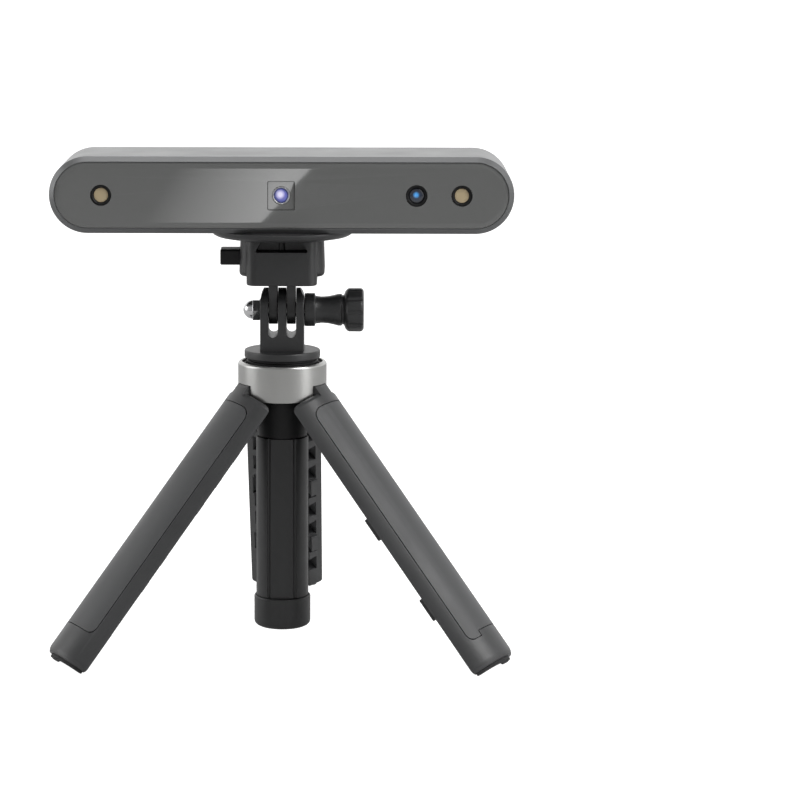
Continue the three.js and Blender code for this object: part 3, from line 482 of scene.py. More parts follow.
def make_front_panel():
    wide, high, thick = PANEL_SIZE.x, PANEL_SIZE.z, PANEL_SIZE.y
    full = stadium(wide, high)
    inner = stadium(wide - 2 * PANEL_BORDER, high - 2 * PANEL_BORDER)
    rings = [(full, -thick / 2), (full, thick / 2 - PANEL_FALL), (inner, thick / 2)]
    panel = loft("front_window", rings)
    holes = []
    for eye, x in EYES.items():
        radius = 3.6 if eye == "colour" else 3.5
        holes.append(place(prism("hole", circle(radius), -5, 5), shift(x, 0, 0)))
    holes.append(prism("square", rounded(9.1, 9.7, 0.6), -5, 5))
    combine(panel, holes)
    forward(panel, PANEL.y)
    dress(panel, "head", "panel", ["front_panel"], soften=0.16, angle=24, steps=3)


def make_rear_cover():
    wide, high, thick = COVER_SIZE.x, COVER_SIZE.z, COVER_SIZE.y
    cover = prism("rear_lid", stadium(wide, high), -thick / 2, thick / 2, rim=0.4, steps=2)
    button = span("power_button")[0]
    light = span("status_light")[0]
    tools = [prism("port", stadium(9.6, 3.8, 12), -5, 5),
             place(prism("button_hole", circle(3.2), -5, 5), shift(-(button.x - HEAD.x), 0, 0)),
             place(prism("light_hole", circle(1.2, 24), -5, 5), shift(-(light.x - HEAD.x), 0, 0))]
    for number in range(1, 5):
        screw = span(f"rear_screw_{number}")[0]
        sink = lathe("sink", [(0, -5), (1.15, -5), (1.15, -0.5), (2.2, 0.3), (2.2, 5), (0, 5)], 28)
        tools.append(place(sink, shift(-(screw.x - HEAD.x), screw.z - HEAD.z, 0)))
    for side in (-1, 1):
        for step in range(4):
            slot = rounded(1.4, 9.0, 0.66)
            tools.append(place(prism("vent", slot, -5, 5), shift(side * (44 + 3 * step), 0, 0)))
    combine(cover, tools)
    place(cover, shift(HEAD.x, COVER.y, HEAD.z) @ turn(180, "Z") @ LAY_BACK)
    dress(cover, "head", "cover", ["rear_cover"], soften=0.12, steps=2)


def make_rear_screws():
    for number in range(1, 5):
        middle, size = span(f"rear_screw_{number}")
        tip = size.y / 2
        head = lathe(f"screw_{number}", [(0, -tip), (1.0, -tip), (1.0, tip - 1.2), (2.0, tip - 0.4),
                                         (2.0, tip - 0.12), (1.85, tip), (0, tip)], 40)
        cross = [box("cross", -1.2, 1.2, -0.22, 0.22, tip - 0.5, tip + 1),
                 box("cross", -0.22, 0.22, -1.2, 1.2, tip - 0.5, tip + 1)]
        combine(head, cross)
        place(head, shift(*middle) @ FACE_BACK)
        dress(head, "head", "steel", [f"rear_screw_{number}"], soften=0.05, steps=2)


def eye_ring(name, node, slot, inner):
    middle, size = span(node)
    outer, deep = size.x / 2, size.y / 2
    profile = [(inner, -deep), (outer, -deep), (outer, deep - 0.12), (outer - 0.12, deep),
               (inner + 0.42, deep), (inner + 0.3, deep - 0.1), (inner + 0.04, deep - 0.62),
               (inner, deep - 0.66)]
    thing = place(lathe(name, profile, 72), shift(*middle) @ LAY_BACK)
    return dress(thing, "head", slot, [node], angle=28)


def eye_glass(name, node, slot, dome, finish=None):
    """Domed glass that looks along -Y; its origin is its own middle."""
    middle, size = span(node)
    radius, deep = size.x / 2, size.y / 2
    profile = [(0, -deep), (radius, -deep), (radius, deep - dome - 0.02)]
    steps = 8
    for step in range(1, steps + 1):
        share = step / steps
        profile.append((radius * math.cos(share * math.pi / 2),
                        deep - dome + dome * math.sin(share * math.pi / 2) - 0.01))
    profile[-1] = (0, deep - 0.01)
    thing = place(lathe(name, profile, 64), LAY_BACK)
    thing.location = [value * MM for value in middle]
    bpy.context.view_layer.update()
    return dress(thing, "head", slot, [node], angle=50, finish=finish)


def make_eyes():
    for side in ("left", "right"):
        eye_ring(f"ir_bezel_{side}", f"ir_ring_{side}", "dark", 2.42)
        eye_glass(f"ir_glass_{side}", f"ir_window_{side}", "window", 0.12)
    eye_ring("colour_bezel", "rgb_ring", "dark", 2.5)
    eye_glass("colour_lens", "rgb_lens", "lens", 0.5)
    middle, size = span("projector_bezel")
    square = prism("projector_frame", rounded(size.x, size.z, 0.55), -size.y / 2, size.y / 2, rim=0.15,
                   steps=2)
    combine(square, [prism("bore", circle(3.05), -5, 5)])
    place(square, shift(*middle) @ LAY_BACK)
    dress(square, "head", "panel", ["projector_bezel"], soften=0.08, steps=2)
    eye_ring("projector_rim", "projector_ring", "steel", 2.2)
    eye_glass("projector_glass", "projector_lens", "lens", 0.4, finish="projector")


def make_rear_controls():
    middle, size = span("power_button")
    low, high = -size.y / 2, size.y / 2
    profile = [(0, low), (3.8, low), (3.8, low + 0.9), (2.95, low + 1.0), (2.95, high - 0.45),
               (2.82, high - 0.15), (2.5, high), (1.6, high - 0.08), (0.8, high - 0.16), (0, high - 0.18)]
    key = place(lathe("power_cap", profile, 64), shift(*middle) @ FACE_BACK)
    dress(key, "power_key", "cover", ["power_button"], angle=40)
    middle, size = span("status_light")
    tip = size.y / 2
    pipe = lathe("status_pipe", [(0, -tip), (1.05, -tip), (1.05, tip - 0.3), (0.7, tip - 0.06), (0, tip)], 32)
    dress(place(pipe, shift(*middle) @ FACE_BACK), "head", "light", ["status_light"], angle=40)
    middle, size = span("usb_c_port")
    deep = size.y / 2
    shell = prism("data_port", stadium(size.x, size.z, 16), -deep, deep, rim=0.12, steps=2)
    combine(shell, [prism("mouth", stadium(8.3, 2.5, 16), -deep + 1.2, deep + 1)])
    combine(shell, [box("tongue", -3.3, 3.3, -0.35, 0.35, -deep + 0.8, deep - 0.7, rim=0.1)], "UNION")
    place(shell, shift(*middle) @ FACE_BACK)
    dress(shell, "head", "steel", ["usb_c_port"], soften=0.05, steps=2)


# ---------------------------------------------------------------- quick release and tilt joint
def dovetail(top_width, bottom_width, top, bottom):
    t, b = top_width / 2, bottom_width / 2
    return [(-b + 0.3, bottom), (b - 0.3, bottom), (b, bottom + 0.6), (t, top), (-t, top), (-b, bottom + 0.6)]


def make_mount_plate():
    middle, size = span("mount_plate")
    top = middle.z + size.z / 2
    low = middle.z - size.z / 2
    rim = size.x / 2
    under = top - 2.5
    dish = lathe("mount_dish", [(0, under), (rim - 2.6, under), (rim - 1.6, under + 0.18),
                                (rim - 0.75, under + 0.6), (rim - 0.2, under + 1.2), (rim, under + 1.9),
                                (rim, top - 0.15), (rim - 0.15, top), (0, top)], 128)
    place(dish, shift(0, AXIS_Y, 0))
    tenon = prism("tenon", dovetail(12.4, 16.8, under + 0.2, low), -12, 9, rim=0.3)
    place(tenon, shift(0, AXIS_Y, 0) @ LAY_BACK)
    combine(dish, [tenon], "UNION")
    drills = [place(prism("pocket", circle(21.2, 96), top - 0.7, top + 1), shift(0, AXIS_Y, 0)),
              place(prism("shank", circle(3.3), low - 1, top + 1), shift(0, AXIS_Y, 0)),
              place(prism("sink", circle(5.4), low - 1, low + 2.2), shift(0, AXIS_Y, 0)),
              place(prism("nick", circle(1.1, 24), low - 1, under - 0.6), shift(0, AXIS_Y - 9.2, 0))]
    combine(dish, drills)
    dress(dish, "head", "polymer", ["mount_plate"], soften=0.12, steps=2)


def tongue_outline():
    middle, size = span("clamp_body")
    root = middle.z - size.z / 2
    reach = PIVOT_Z - root
    block_low = PIVOT_Z + 9.4
    return ([(-reach, PIVOT_Z + 3)] + arc(0, PIVOT_Z, reach, 180, 360, 32) + [(reach, PIVOT_Z + 3)]
            + [(6.5, block_low + 0.4), (-6.5, block_low + 0.4)])


def across(outline, x0, x1, name="slab", rim=0.25):
    """Outline of (y, z) points pulled along X, standing on the tripod axis."""
    slab = prism(name, outline, x0, x1, rim=rim, steps=3)
    return place(slab, shift(0, AXIS_Y, 0) @ YZ_TO_XYZ)


def make_clamp():
    middle, size = span("clamp_body")
    top = middle.z + size.z / 2
    step = PIVOT_Z + 13.0
    low = PIVOT_Z + 9.7
    wide, deep = size.x, size.y
    rings = []
    for height, shrink in ((step - 0.6, 1.4), (step - 0.1, 0.45), (step + 0.4, 0.1), (step + 1.0, 0.0),
                           (top - 0.6, 0.7), (top - 0.2, 0.85), (top, 1.2)):
        outline = rounded(wide - shrink, deep - 3 - shrink, 5.0, 14)
        rings.append((shifted(outline, 0, 1.5), height))
    upper = loft("clamp_block", rings)
    core = shifted(rounded(23.7, deep - 3, 3.4, 12), 0, -1.5)
    combine(upper, [prism("clamp_core", core, low, top - 0.03, rim=0.55, steps=3)], "UNION")
    place(upper, shift(0, AXIS_Y, 0))
    tongues = [across(tongue_outline(), side * TONGUE_MID - TONGUE_HALF, side * TONGUE_MID + TONGUE_HALF)
               for side in (-1, 1)]
    combine(upper, tongues, "UNION")
    button, button_size = span("release_button")
    floor_height = top - 4.1
    slot = prism("slot", dovetail(12.9, 17.4, top + 0.2, floor_height), -12.4, 20)
    place(slot, shift(0, AXIS_Y, 0) @ LAY_BACK)
    pocket = box("pocket", -20, -5.5, AXIS_Y - 4.65, AXIS_Y + 4.65, button.z - button_size.z / 2 - 0.15,
                 button.z + button_size.z / 2 + 0.15)
    bolt = place(prism("bolt", circle(2.65, 40), -20, 20), shift(0, AXIS_Y, PIVOT_Z) @ LAY_RIGHT)
    combine(upper, [slot, pocket, bolt])
    dress(upper, "clamp", "polymer", ["clamp_body"], soften=0.16, steps=2)


def make_release():
    middle, size = span("release_button")
    block = prism("release_key", rounded(size.y, size.z, 0.8, 6), -size.x / 2, size.x / 2, rim=0.45, steps=4)
    place(block, shift(*middle) @ YZ_TO_XYZ)
    seat = place(prism("seat", circle(2.0, 32), 0, 12), shift(middle.x - 0.7, middle.y, middle.z) @ LAY_RIGHT)
    combine(block, [seat])
    dress(block, "release", "dark", ["release_button"], soften=0.1, steps=2)


def make_clevis():
    middle, size = span("clevis_base")
    low = middle.z - size.z / 2
    top = middle.z + size.z / 2
    radius = top - PIVOT_Z
    flange_top = low + 2.7
    rim = size.x / 2
    flange = lathe("clevis_body", [(0, low), (rim - 0.4, low), (rim - 0.1, low + 0.15), (rim, low + 0.4),
                                   (rim, flange_top - 0.55), (rim - 0.16, flange_top - 0.16),
                                   (rim - 0.55, flange_top), (0, flange_top)], 112)
    place(flange, shift(0, AXIS_Y, 0))
    outline = ([(-radius, flange_top - 0.4), (radius, flange_top - 0.4)] + arc(0, PIVOT_Z, radius, 0, 180,
                                                                               40))
    block = across(outline, -PRONG_HALF, PRONG_HALF, "prongs", rim=0.3)
    right = [(PRONG_HALF, low), (PRONG_HALF, PIVOT_Z + 3.4), (7.34, PIVOT_Z + 4.3), (7.15, PIVOT_Z + 5.2),
             (6.85, PIVOT_Z + 6.1), (6.4, PIVOT_Z + 7.0), (5.9, PIVOT_Z + 8)]
    gable = prism("gable", right + [(-x, z) for x, z in reversed(right)], -20, 20)
    combine(block, [place(gable, shift(0, AXIS_Y, 0) @ LAY_BACK)], "INTERSECT")
    combine(flange, [block], "UNION")
    floor_height = low + 7.6
    tools = []
    for side in (-1, 1):
        x = side * TONGUE_MID
        slot = ([(x + SLOT_HALF, PIVOT_Z + 20), (x - SLOT_HALF, PIVOT_Z + 20)]
                + arc(x, floor_height + SLOT_HALF, SLOT_HALF, 180, 360, 20))
        tools.append(place(prism("slot", slot, -20, 20), shift(0, AXIS_Y, 0) @ LAY_BACK))
    tools.append(place(prism("bolt", circle(2.55, 40), -20, 20), shift(0, AXIS_Y, PIVOT_Z) @ LAY_RIGHT))
    tools.append(place(prism("stud", circle(3.25, 40), low - 1, low + 5.3), shift(0, AXIS_Y, 0)))
    combine(flange, tools)
    dress(flange, "clevis", "polymer", ["clevis_base"], soften=0.14, steps=2)


def make_thumb_screw():
    middle, size = span("tilt_knob")
    start = middle.x - size.x / 2
    profile = [(0, 0), (5.3, 0), (5.55, 0.1), (5.65, 0.4), (5.65, 3.2), (5.55, 3.5), (5.3, 3.6), (4.85, 3.62),
               (4.72, 3.9), (4.5, 5.6), (4.52, 6.6), (4.7, 8.4), (5.1, 10.2), (5.42, 11.4), (5.45, 12.4),
               (5.3, 12.62), (5.02, 12.72), (5.0, 13.25), (5.3, 13.45), (6.4, 13.85), (7.1, 14.5), (7.38,
                                                                                                    15.1),
               (7.4, 18.9), (7.2, 19.55), (6.6, 20.0), (6.1, 20.1), (5.6, 20.0), (5.3, 19.75), (0, 19.7)]
    knob = lathe("thumb_knob", profile, 120)
    tools = [prism("bore", circle(2.5, 32), -1, 14.3)]
    for step in range(KNOB_FLUTES):
        angle = math.radians((step + 0.5) * 360 / KNOB_FLUTES)
        tools.append(place(prism("flute", circle(1.0, 20), 14.4, 21.5),
                           shift(8.02 * math.cos(angle), 8.02 * math.sin(angle), 0)))
    combine(knob, tools)
    place(knob, shift(start, middle.y, middle.z) @ LAY_RIGHT)
    dress(knob, "thumb_screw", "polymer", ["tilt_knob"], soften=0.12, steps=2)
    middle, size = span("tilt_bolt")
    half = size.x / 2
    shank = lathe("joint_bolt", [(0, -half), (1.9, -half), (2.38, -half + 0.5), (2.38, half - 0.4),
                                 (2.0, half), (0, half)], 40)
    dress(place(shank, shift(*middle) @ LAY_RIGHT), "thumb_screw", "steel", ["tilt_bolt"], angle=35)


def make_cap_nut():
    middle, size = span("cap_nut")
    face = middle.x + size.x / 2
    corner = size.y / 2
    angles = [math.radians(60 * step + 30) for step in range(6)]
    hexagon = [(corner * math.cos(angle), corner * math.sin(angle)) for angle in angles]
    nut = prism("acorn_nut", hexagon, -2.6, 0, rim=0.25, steps=3)
    dome = [(0, -size.x + 0.02)]
    for step in range(1, 15):
        angle = math.radians(90 * step / 14)
        dome.append((3.24 * math.sin(angle), -2.5 - 3.28 * math.cos(angle)))
    dome += [(3.24, -2.2), (0, -2.2)]
    combine(nut, [lathe("dome", dome, 64)], "UNION")
    combine(nut, [prism("thread", circle(2.5, 32), -3.6, 1)])
    place(nut, shift(face, middle.y, middle.z) @ LAY_RIGHT)
    dress(nut, "clevis", "chrome", ["cap_nut"], soften=0.06, steps=2)


# ---------------------------------------------------------------- tripod core
def round_legs(maker):
    """One tool per leg, drawn on +X and turned about the tripod axis."""
    return [place(maker(), shift(0, AXIS_Y, 0) @ turn(azimuth, "Z")) for azimuth in LEG_AZIMUTHS.values()]


def make_collar():
    middle, size = span("collar")
    low, top = middle.z - size.z / 2, middle.z + size.z / 2
    outer, bore = size.x / 2, 13.7
    profile = [(bore, low), (outer - 0.25, low), (outer - 0.07, low + 0.07), (outer, low + 0.25),
               (outer, top - 1.1), (outer - 0.12, top - 0.62), (outer - 0.42, top - 0.22),
               (outer - 0.95, top), (bore + 0.15, top), (bore, top - 0.15)]
    collar = place(lathe("silver_collar", profile, 192), shift(0, AXIS_Y, 0))
    combine(collar, round_legs(lambda: box("notch", 8, 20, -4.05, 4.05, low - 1, low + 5.3)))
    dress(collar, "core", "collar", ["collar"], soften=0.2, steps=3)


def make_hub():
    middle, size = span("leg_hub")
    low, top = middle.z - size.z / 2, middle.z + size.z / 2
    rim = 13.54
    skirt = span("collar")[0].z - span("collar")[1].z / 2
    body = lathe("hub_and_neck", [(0, low), (8.1, low), (8.4, low + 0.3), (9.28, skirt - 3),
                                  (9.3, skirt - 2.4), (9.3, skirt + 0.6), (10.6, skirt + 1.4),
                                  (rim, skirt + 3.4), (rim, top - 0.2), (rim - 0.2, top), (0, top)], 128)
    place(body, shift(0, AXIS_Y, 0))
    half = LUG_WIDTH / 2 + 0.3
    slot_low = LEG_TOP - 2.9

    def lug_slot():
        slot = box("slot", HINGE_RADIUS - 4.1, 20, -half, half, slot_low, HINGE_Z)
        round_top = pin_along_y("top", 4.1, -half, half, HINGE_RADIUS, HINGE_Z)
        outer_top = box("outer", HINGE_RADIUS, 20, -half, half, HINGE_Z - 1, HINGE_Z + 4.1)
        return combine(slot, [round_top, outer_top], "UNION")

    tools = round_legs(lug_slot)
    tools += round_legs(lambda: pin_along_y("pin", 1.2, -7.1, 7.1, HINGE_RADIUS, HINGE_Z, 20))
    tools.append(place(prism("bore", circle(5.2), low - 1, top + 1), shift(0, AXIS_Y, 0)))
    tools.append(place(prism("seat", circle(12.5, 96), top - 2.4, top + 1), shift(0, AXIS_Y, 0)))
    combine(body, tools)
    dress(body, "core", "dark", ["leg_hub"], soften=0.12, steps=2)


def column_outline():
    """Round tube with three facets, one in front of each leg, each between two grooves."""
    radius = 8.9
    leave = math.degrees(math.asin(5 / radius))
    points = []
    for facet in (270, 30, 150):
        c, s = math.cos(math.radians(facet)), math.sin(math.radians(facet))
        for x, y in COLUMN_FACET:
            points.append((x * c - y * s, x * s + y * c))
        points += arc(0, 0, radius, facet + leave + 0.4, facet + 120 - leave - 0.4, 24)
    return points


def make_column():
    middle, size = span("column_tube")
    low, top = middle.z - size.z / 2, middle.z + size.z / 2
    tube = prism("column", column_outline(), low + 6.0, top, rim=0.25, steps=3)
    combine(tube, [prism("spigot", circle(7.6, 72), low, low + 7)], "UNION")
    combine(tube, [prism("bore", circle(5.2, 56), low - 1, top + 1)])
    place(tube, shift(0, AXIS_Y, 0))
    dress(tube, "core", "polymer", ["column_tube"], soften=0.1, steps=2)
    middle, size = span("column_cap")
    low, top = middle.z - size.z / 2, middle.z + size.z / 2
    rim = size.x / 2
    profile = [(0, low), (rim - 2.4, low), (rim - 1.5, low + 0.12), (rim - 0.75, low + 0.5),
               (rim - 0.2, low + 1.1), (rim, low + 1.9), (rim, top - 0.5), (rim - 0.1, top - 0.15),
               (rim - 0.35, top), (7.7, top), (7.7, low + 3), (0, low + 3)]
    cap = place(lathe("column_end_cap", profile, 128), shift(0, AXIS_Y, 0))
    dress(cap, "core", "polymer", ["column_cap"], soften=0.05, steps=2)


def make_pole():
    middle, size = span("pole_stage_lower")
    low, top, outer = -size.z / 2, size.z / 2, size.x / 2
    sleeve = lathe("pole_sleeve", [(0, low), (outer - 0.3, low), (outer, low + 0.3), (outer, top - 1.6),
                                   (outer - 0.12, top - 1.5), (outer - 0.12, top - 1.2), (outer, top - 1.1),
                                   (outer, top - 0.4), (outer - 0.4, top), (4.05, top), (4.05, low + 1.5),
                                   (0, low + 1.5)], 72)
    dress(place(sleeve, shift(*middle)), "pole_lower", "steel", ["pole_stage_lower"], angle=35)
    middle, size = span("pole_stage_upper")
    half, outer = size.z / 2, size.x / 2
    rod = lathe("pole_rod", [(0, -half), (outer - 0.3, -half), (outer, 0.3 - half), (outer, half),
                             (0, half)], 72)
    dress(place(rod, shift(*middle)), "pole_upper", "steel", ["pole_stage_upper"], angle=35)
    middle, size = span("pole_head")
    half, outer = size.z / 2, size.x / 2
    head = lathe("pole_crown", [(0, -half), (outer - 0.9, 0.15 - half), (outer - 0.2, 0.55 - half),
                                (outer, 1.0 - half), (outer, half - 0.3), (outer - 0.3, half), (0, half)], 96)
    dress(place(head, shift(*middle)), "pole_upper", "dark", ["pole_head"], angle=35)
    middle, size = span("pan_washer")
    half, outer = size.z / 2, size.x / 2
    washer = lathe("friction_washer", [(3.3, -half), (outer - 0.1, -half), (outer, 0.1 - half),
                                       (outer, half - 0.1), (outer - 0.1, half), (3.3, half)], 96)
    dress(place(washer, shift(*middle)), "pole_upper", "rubber", ["pan_washer"], angle=35)


# ---------------------------------------------------------------- legs
def swing(azimuth):
    """From the folded pose, where the leg is drawn, to the pose it rests in."""
    opened = shift(HINGE_RADIUS, 0, HINGE_Z) @ turn(-LEG_SPREAD, "Y") @ shift(-HINGE_RADIUS, 0, -HINGE_Z)
    return shift(0, AXIS_Y, 0) @ turn(azimuth, "Z") @ opened


def rounding(angle, half, reach, depth):
    """How far an end draws back near the pad's side, so that its corners are round."""
    spare = max(0.0, abs(angle) - (half - reach)) / reach
    return depth * (1 - math.sqrt(max(0.0, 1 - spare * spare)))


def pad_blank(grow, name="pad"):
    """What the grip pad fills; its lower end steps up to one side of the leg's middle."""
    inner = LEG_OUTER - 1.5 - grow / 2
    outer = LEG_OUTER if grow < 0 else LEG_OUTER + 2
    half = PAD_HALF + 4 * grow
    split = PAD_STEP_ANGLE + 4 * grow
    angles = [-half + (split + half) * i / 14 for i in range(15)]
    angles += [split + 1e-3 + (half - split - 1e-3) * i / 30 for i in range(31)]
    bm = bmesh.new()
    columns = []
    for angle in angles:
        c, s = math.cos(math.radians(angle)), math.sin(math.radians(angle))
        low = PAD_END - grow + (PAD_STEP if angle > split else 0.0) + rounding(angle, half, 10.0, 2.6)
        high = PAD_TOP + grow - rounding(angle, half, 14.0, 3.4)
        corners = [(inner, low), (outer, low), (outer, high), (inner, high)]
        columns.append([bm.verts.new((radius * c * MM, radius * s * MM, z * MM)) for radius, z in corners])
    for first, second in zip(columns, columns[1:]):
        for step in range(4):
            after = (step + 1) % 4
            bm.faces.new((first[step], second[step], second[after], first[after]))
    bm.faces.new(columns[0])
    bm.faces.new(columns[-1])
    return from_bmesh(name, bm)


def truss_tools():
    """Triangular pockets that open inwards, pointing left and right by turns."""
    top = LEG_TOP - 9
    count = int((top - (LEG_END + 9)) // (TRUSS_PITCH / 2)) - 1
    tools = []
    for step in range(count):
        upper = top - step * TRUSS_PITCH / 2
        side = 1 if step % 2 == 0 else -1
        triangle = [(side * 12.5, upper - RIB), (side * 12.5, upper - TRUSS_PITCH + RIB),
                    (-side * 6.6, upper - TRUSS_PITCH / 2)]
        piece = place(prism("cell", triangle, 2, 16), YZ_TO_XYZ)
        core = prism("core", sector(LEG_INNER - 3, LEG_OUTER - 2.3, 66, 0.0, 24), LEG_END, LEG_TOP)
        combine(piece, [core], "INTERSECT")
        tools.append(piece)
    return tools


def corner_tools():
    """Cut the side corners of a leg round at both its ends."""
    outline = [(-1, 1), (-1, -LEG_CORNER), (0, -LEG_CORNER)]
    outline += arc(LEG_CORNER, -LEG_CORNER, LEG_CORNER, 180, 90, 10)[1:]
    outline += [(LEG_CORNER, 1)]
    tools = []
    for side in (-1, 1):
        for end in (-1, 1):
            tool = place(prism("corner", outline, 2, 20), YZ_TO_XYZ)
            place(tool, Matrix.Scale(-side, 4, (0, 1, 0)) @ Matrix.Scale(end, 4, (0, 0, 1)))
            if side * end > 0:
                tool.data.flip_normals()
            height = LEG_TOP if end > 0 else LEG_END
            gap = -side * LEG_SIDE_GAP
            place(tool, turn(60 * side, "Z") @ shift(0, gap, height))
            tools.append(tool)
    return tools


def leg_envelope():
    """Everything a leg may fill, with its outer edge turned round at both ends."""
    outer = LEG_OUTER
    return lathe("envelope", [(0, LEG_END), (outer - 2.3, LEG_END), (outer - 1.4, LEG_END + 0.45),
                              (outer - 0.7, LEG_END + 1.1), (outer - 0.2, LEG_END + 2.1),
                              (outer + 0.6, LEG_END + 6), (outer + 0.6, LEG_TOP - 4),
                              (outer - 0.1, LEG_TOP - 1.2), (outer - 0.45, LEG_TOP - 0.5),
                              (outer - 1.2, LEG_TOP), (0, LEG_TOP)], 144)


def make_lug():
    """Fills the notch in the collar and carries the outer skin of the leg up to it."""
    outline = [(-2.2, -6.6), (0.6, -6.6), (1.0, -7.6), (5.6, -7.6), (5.6, -4.6), (5.45, -3.7), (5.1, -2.56),
               (3.62, -1.3), (0, 0), (-2.2, 0)]
    outline = [(HINGE_RADIUS + x, HINGE_Z + z) for x, z in outline]
    half = LUG_WIDTH / 2
    lug = place(prism("lug", outline, -half, half), LAY_BACK)
    combine(lug, [pin_along_y("knuckle", LUG_RADIUS, -half, half, HINGE_RADIUS, HINGE_Z, 56)], "UNION")
    return combine(lug, [prism("skin", circle(LEG_OUTER, 144), LEG_TOP - 5, HINGE_Z + 5)], "INTERSECT")


def collar_relief():
    """Room for the collar while the leg swings past it."""
    low = span("collar")[0].z - span("collar")[1].z / 2 - 0.3
    tools = []
    for share in (1.0, 0.85, 0.7, 0.5):
        room = lathe("relief", [(13.4, low), (15.4, low), (15.4, low + 5), (13.4, low + 5)], 96)
        folded = turn(LEG_SPREAD * share, "Y") @ shift(-HINGE_RADIUS, 0, -HINGE_Z)
        tools.append(place(room, shift(HINGE_RADIUS, 0, HINGE_Z) @ folded))
    return tools


def sole_blank(grow, name="sole_room"):
    section = sector(LEG_INNER + 0.6 - grow, LEG_OUTER - 1.9 + grow, 60, LEG_SIDE_GAP + 0.9 - grow, 36)
    return prism(name, section, LEG_END, LEG_END + SOLE_THICK + grow)


def below_floor():
    return box("below", -300, 300, -300, 300, -60, 0.0)


def make_leg_frame(name, azimuth):
    section = sector(LEG_INNER, LEG_OUTER, 60, LEG_SIDE_GAP, 40)
    body = prism(f"leg_{name}_frame", section, LEG_END + SOLE_PROUD, LEG_TOP)
    combine(body, [leg_envelope()], "INTERSECT")
    combine(body, collar_relief() + [pad_blank(0.0), sole_blank(0.06)] + corner_tools() + truss_tools())
    nubs = []
    sockets = []
    for height in NUB_HEIGHTS:
        low = LEG_END + height
        high = low + NUB_LENGTH
        nubs.append(place(box("nub", 10.4, 12.9, -0.88, 3.0, low, high, rim=0.3), turn(-60, "Z")))
        sockets.append(place(box("socket", 9.6, 13.4, -1.4, 1, low - 0.6, high + 0.6), turn(60, "Z")))
    combine(body, [make_lug()] + nubs, "UNION")
    combine(body, [pin_along_y("pin", PIN_HOLE, -20, 20, HINGE_RADIUS, HINGE_Z, 24)] + sockets)
    place(body, swing(azimuth))
    combine(body, [below_floor()])
    dress(body, f"leg_{name}", "polymer", [f"leg_frame_{name}"], soften=0.2, steps=3, finish="leg")


def make_leg_trim(name, azimuth):
    grip = place(pad_blank(-0.25, f"leg_{name}_grip_pad"), swing(azimuth))
    dress(grip, f"leg_{name}", "grip", [f"leg_grip_{name}"], soften=0.25, steps=3, angle=28)
    sole = place(sole_blank(0.0, f"leg_{name}_foot"), swing(azimuth))
    combine(sole, [below_floor()])
    dress(sole, f"leg_{name}", "rubber", [f"leg_sole_{name}"], soften=0.15, steps=2)


make_head_shell()
make_front_panel()
make_rear_cover()
make_rear_screws()
make_eyes()
make_rear_controls()
make_mount_plate()
make_clamp()
make_release()
make_clevis()
make_thumb_screw()
make_cap_nut()
make_collar()
make_hub()
make_column()
make_pole()
for leg_name, leg_azimuth in LEG_AZIMUTHS.items():
    make_leg_frame(leg_name, leg_azimuth)
    make_leg_trim(leg_name, leg_azimuth)

# CAD pieces that stay as they are, inside the head or between others, take the same finishes.
SLOT_OF_NODE = {row["node"]: row["material_slot"] for row in frame["record"]["subparts"]}
for node_name, node_object in frame["nodes"].items():
    if node_name in SLOT_OF_NODE:
        node_object.data.materials.clear()
        node_object.data.materials.append(MATERIALS[SLOT_OF_NODE[node_name]])


# ---------------------------------------------------------------- floor, light and camera
def stage_material(name, colour, seen, front, back):
    """Pale surface, seen by the camera at one strength; its glow on the object grows to the back."""
    nodes = Nodes(name)
    nodes.link(nodes.mix(nodes.noise(6.0, 2.0), tinted(colour, 0.985), colour), "Base Color")
    nodes.shader.inputs["Roughness"].default_value = 0.8
    nodes.shader.inputs["Specular IOR Level"].default_value = 0.1
    nodes.shader.inputs["Emission Color"].default_value = (1.0, 1.0, 1.0, 1.0)
    path = nodes.add("LightPath").outputs["Is Camera Ray"]
    depth = nodes.add("SeparateXYZ", {"Vector": nodes.place}).outputs["Y"]
    across_stage = {"Value": depth, "From Min": -STAGE_RADIUS, "From Max": STAGE_RADIUS, "To Min": front,
                    "To Max": back}
    felt = nodes.add("MapRange", across_stage).outputs["Result"]
    level = nodes.add("MapRange", {"Value": path, "To Min": felt, "To Max": seen}).outputs["Result"]
    nodes.link(level, "Emission Strength")
    return nodes.material


def make_floor():
    bm = bmesh.new()
    bmesh.ops.create_circle(bm, cap_ends=True, segments=96, radius=STAGE_RADIUS)
    ground = from_bmesh("studio_floor", bm)
    ground.data.materials.append(stage_material("pale_floor", (0.35, 0.35, 0.35), 1.0, *FLOOR_GLOW))


def make_wall():
    """Round white wall about the whole floor."""
    bm = bmesh.new()
    bmesh.ops.create_cone(bm, segments=96, radius1=STAGE_RADIUS, radius2=STAGE_RADIUS, depth=WALL_HEIGHT,
                          cap_ends=False)
    bmesh.ops.translate(bm, verts=bm.verts, vec=(0, 0, WALL_HEIGHT / 2))
    wall = from_bmesh("studio_wall", bm)
    wall.data.materials.append(stage_material("white_wall", (0.5, 0.5, 0.5), 1.0, *WALL_GLOW))


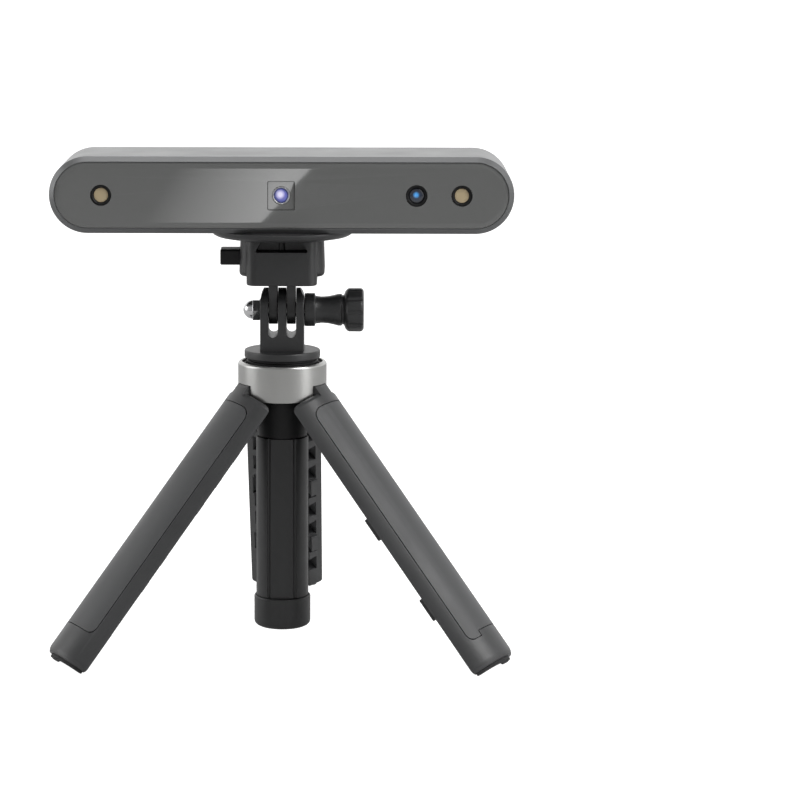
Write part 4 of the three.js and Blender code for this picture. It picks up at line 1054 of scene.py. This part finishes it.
def make_card():
    """Bright card on the floor in front of the scanner; only reflections show it."""
    bm = bmesh.new()
    bm.faces.new([bm.verts.new((x, y, CARD_HEIGHT)) for x, y in CARD_CORNERS])
    card = from_bmesh("reflection_card", bm)
    nodes = Nodes("card_glow")
    along = nodes.add("SeparateXYZ", {"Vector": nodes.place}).outputs["X"]
    fade = {"Value": along, "From Min": CARD_DARK_X, "From Max": CARD_BRIGHT_X, "To Max": CARD_GLOW}
    nodes.link(nodes.add("MapRange", fade).outputs["Result"], "Emission Strength")
    nodes.shader.inputs["Emission Color"].default_value = (1.0, 1.0, 1.0, 1.0)
    card.data.materials.append(nodes.material)
    card.visible_camera = False
    card.visible_diffuse = False
    card.visible_shadow = False


def make_lamp(name, spot, size, power):
    """Soft rectangular lamp aimed at the middle of the object."""
    data = bpy.data.lights.new(name, "AREA")
    data.shape = "RECTANGLE"
    data.size, data.size_y = size
    data.energy = power
    lamp = new_object(name, data)
    lamp.location = spot
    aim = Vector((0.0, AXIS_Y * MM, 0.1))
    lamp.rotation_euler = (aim - Vector(spot)).to_track_quat("-Z", "Y").to_euler()


def make_world():
    world = bpy.data.worlds.new("studio")
    world.use_nodes = True
    bpy.context.scene.world = world
    background = world.node_tree.nodes["Background"]
    background.inputs["Color"].default_value = (1.0, 1.0, 1.0, 1.0)
    background.inputs["Strength"].default_value = SKY_LIGHT


def make_camera():
    data = bpy.data.cameras.new("camera")
    data.sensor_width = 36.0
    data.lens = CAMERA_LENS
    data.shift_x = CAMERA_SHIFT
    data.clip_start = 0.05
    data.clip_end = 20
    camera = new_object("camera", data)
    x, y, z = CAMERA_SPOT
    camera.location = (x, y + AXIS_Y * MM, z)
    yaw = math.radians(CAMERA_YAW)
    pitch = math.radians(CAMERA_PITCH)
    ahead = Vector((math.sin(yaw) * math.cos(pitch), math.cos(yaw) * math.cos(pitch), -math.sin(pitch)))
    camera.rotation_euler = ahead.to_track_quat("-Z", "Y").to_euler()
    bpy.context.scene.camera = camera


make_floor()
make_wall()
make_card()
make_world()
make_camera()
for lamp_name, lamp_spot, lamp_size, lamp_power in LAMPS:
    make_lamp(lamp_name, lamp_spot, lamp_size, lamp_power)
view = bpy.context.scene.view_settings
view.view_transform = "Standard"
view.look = "None"
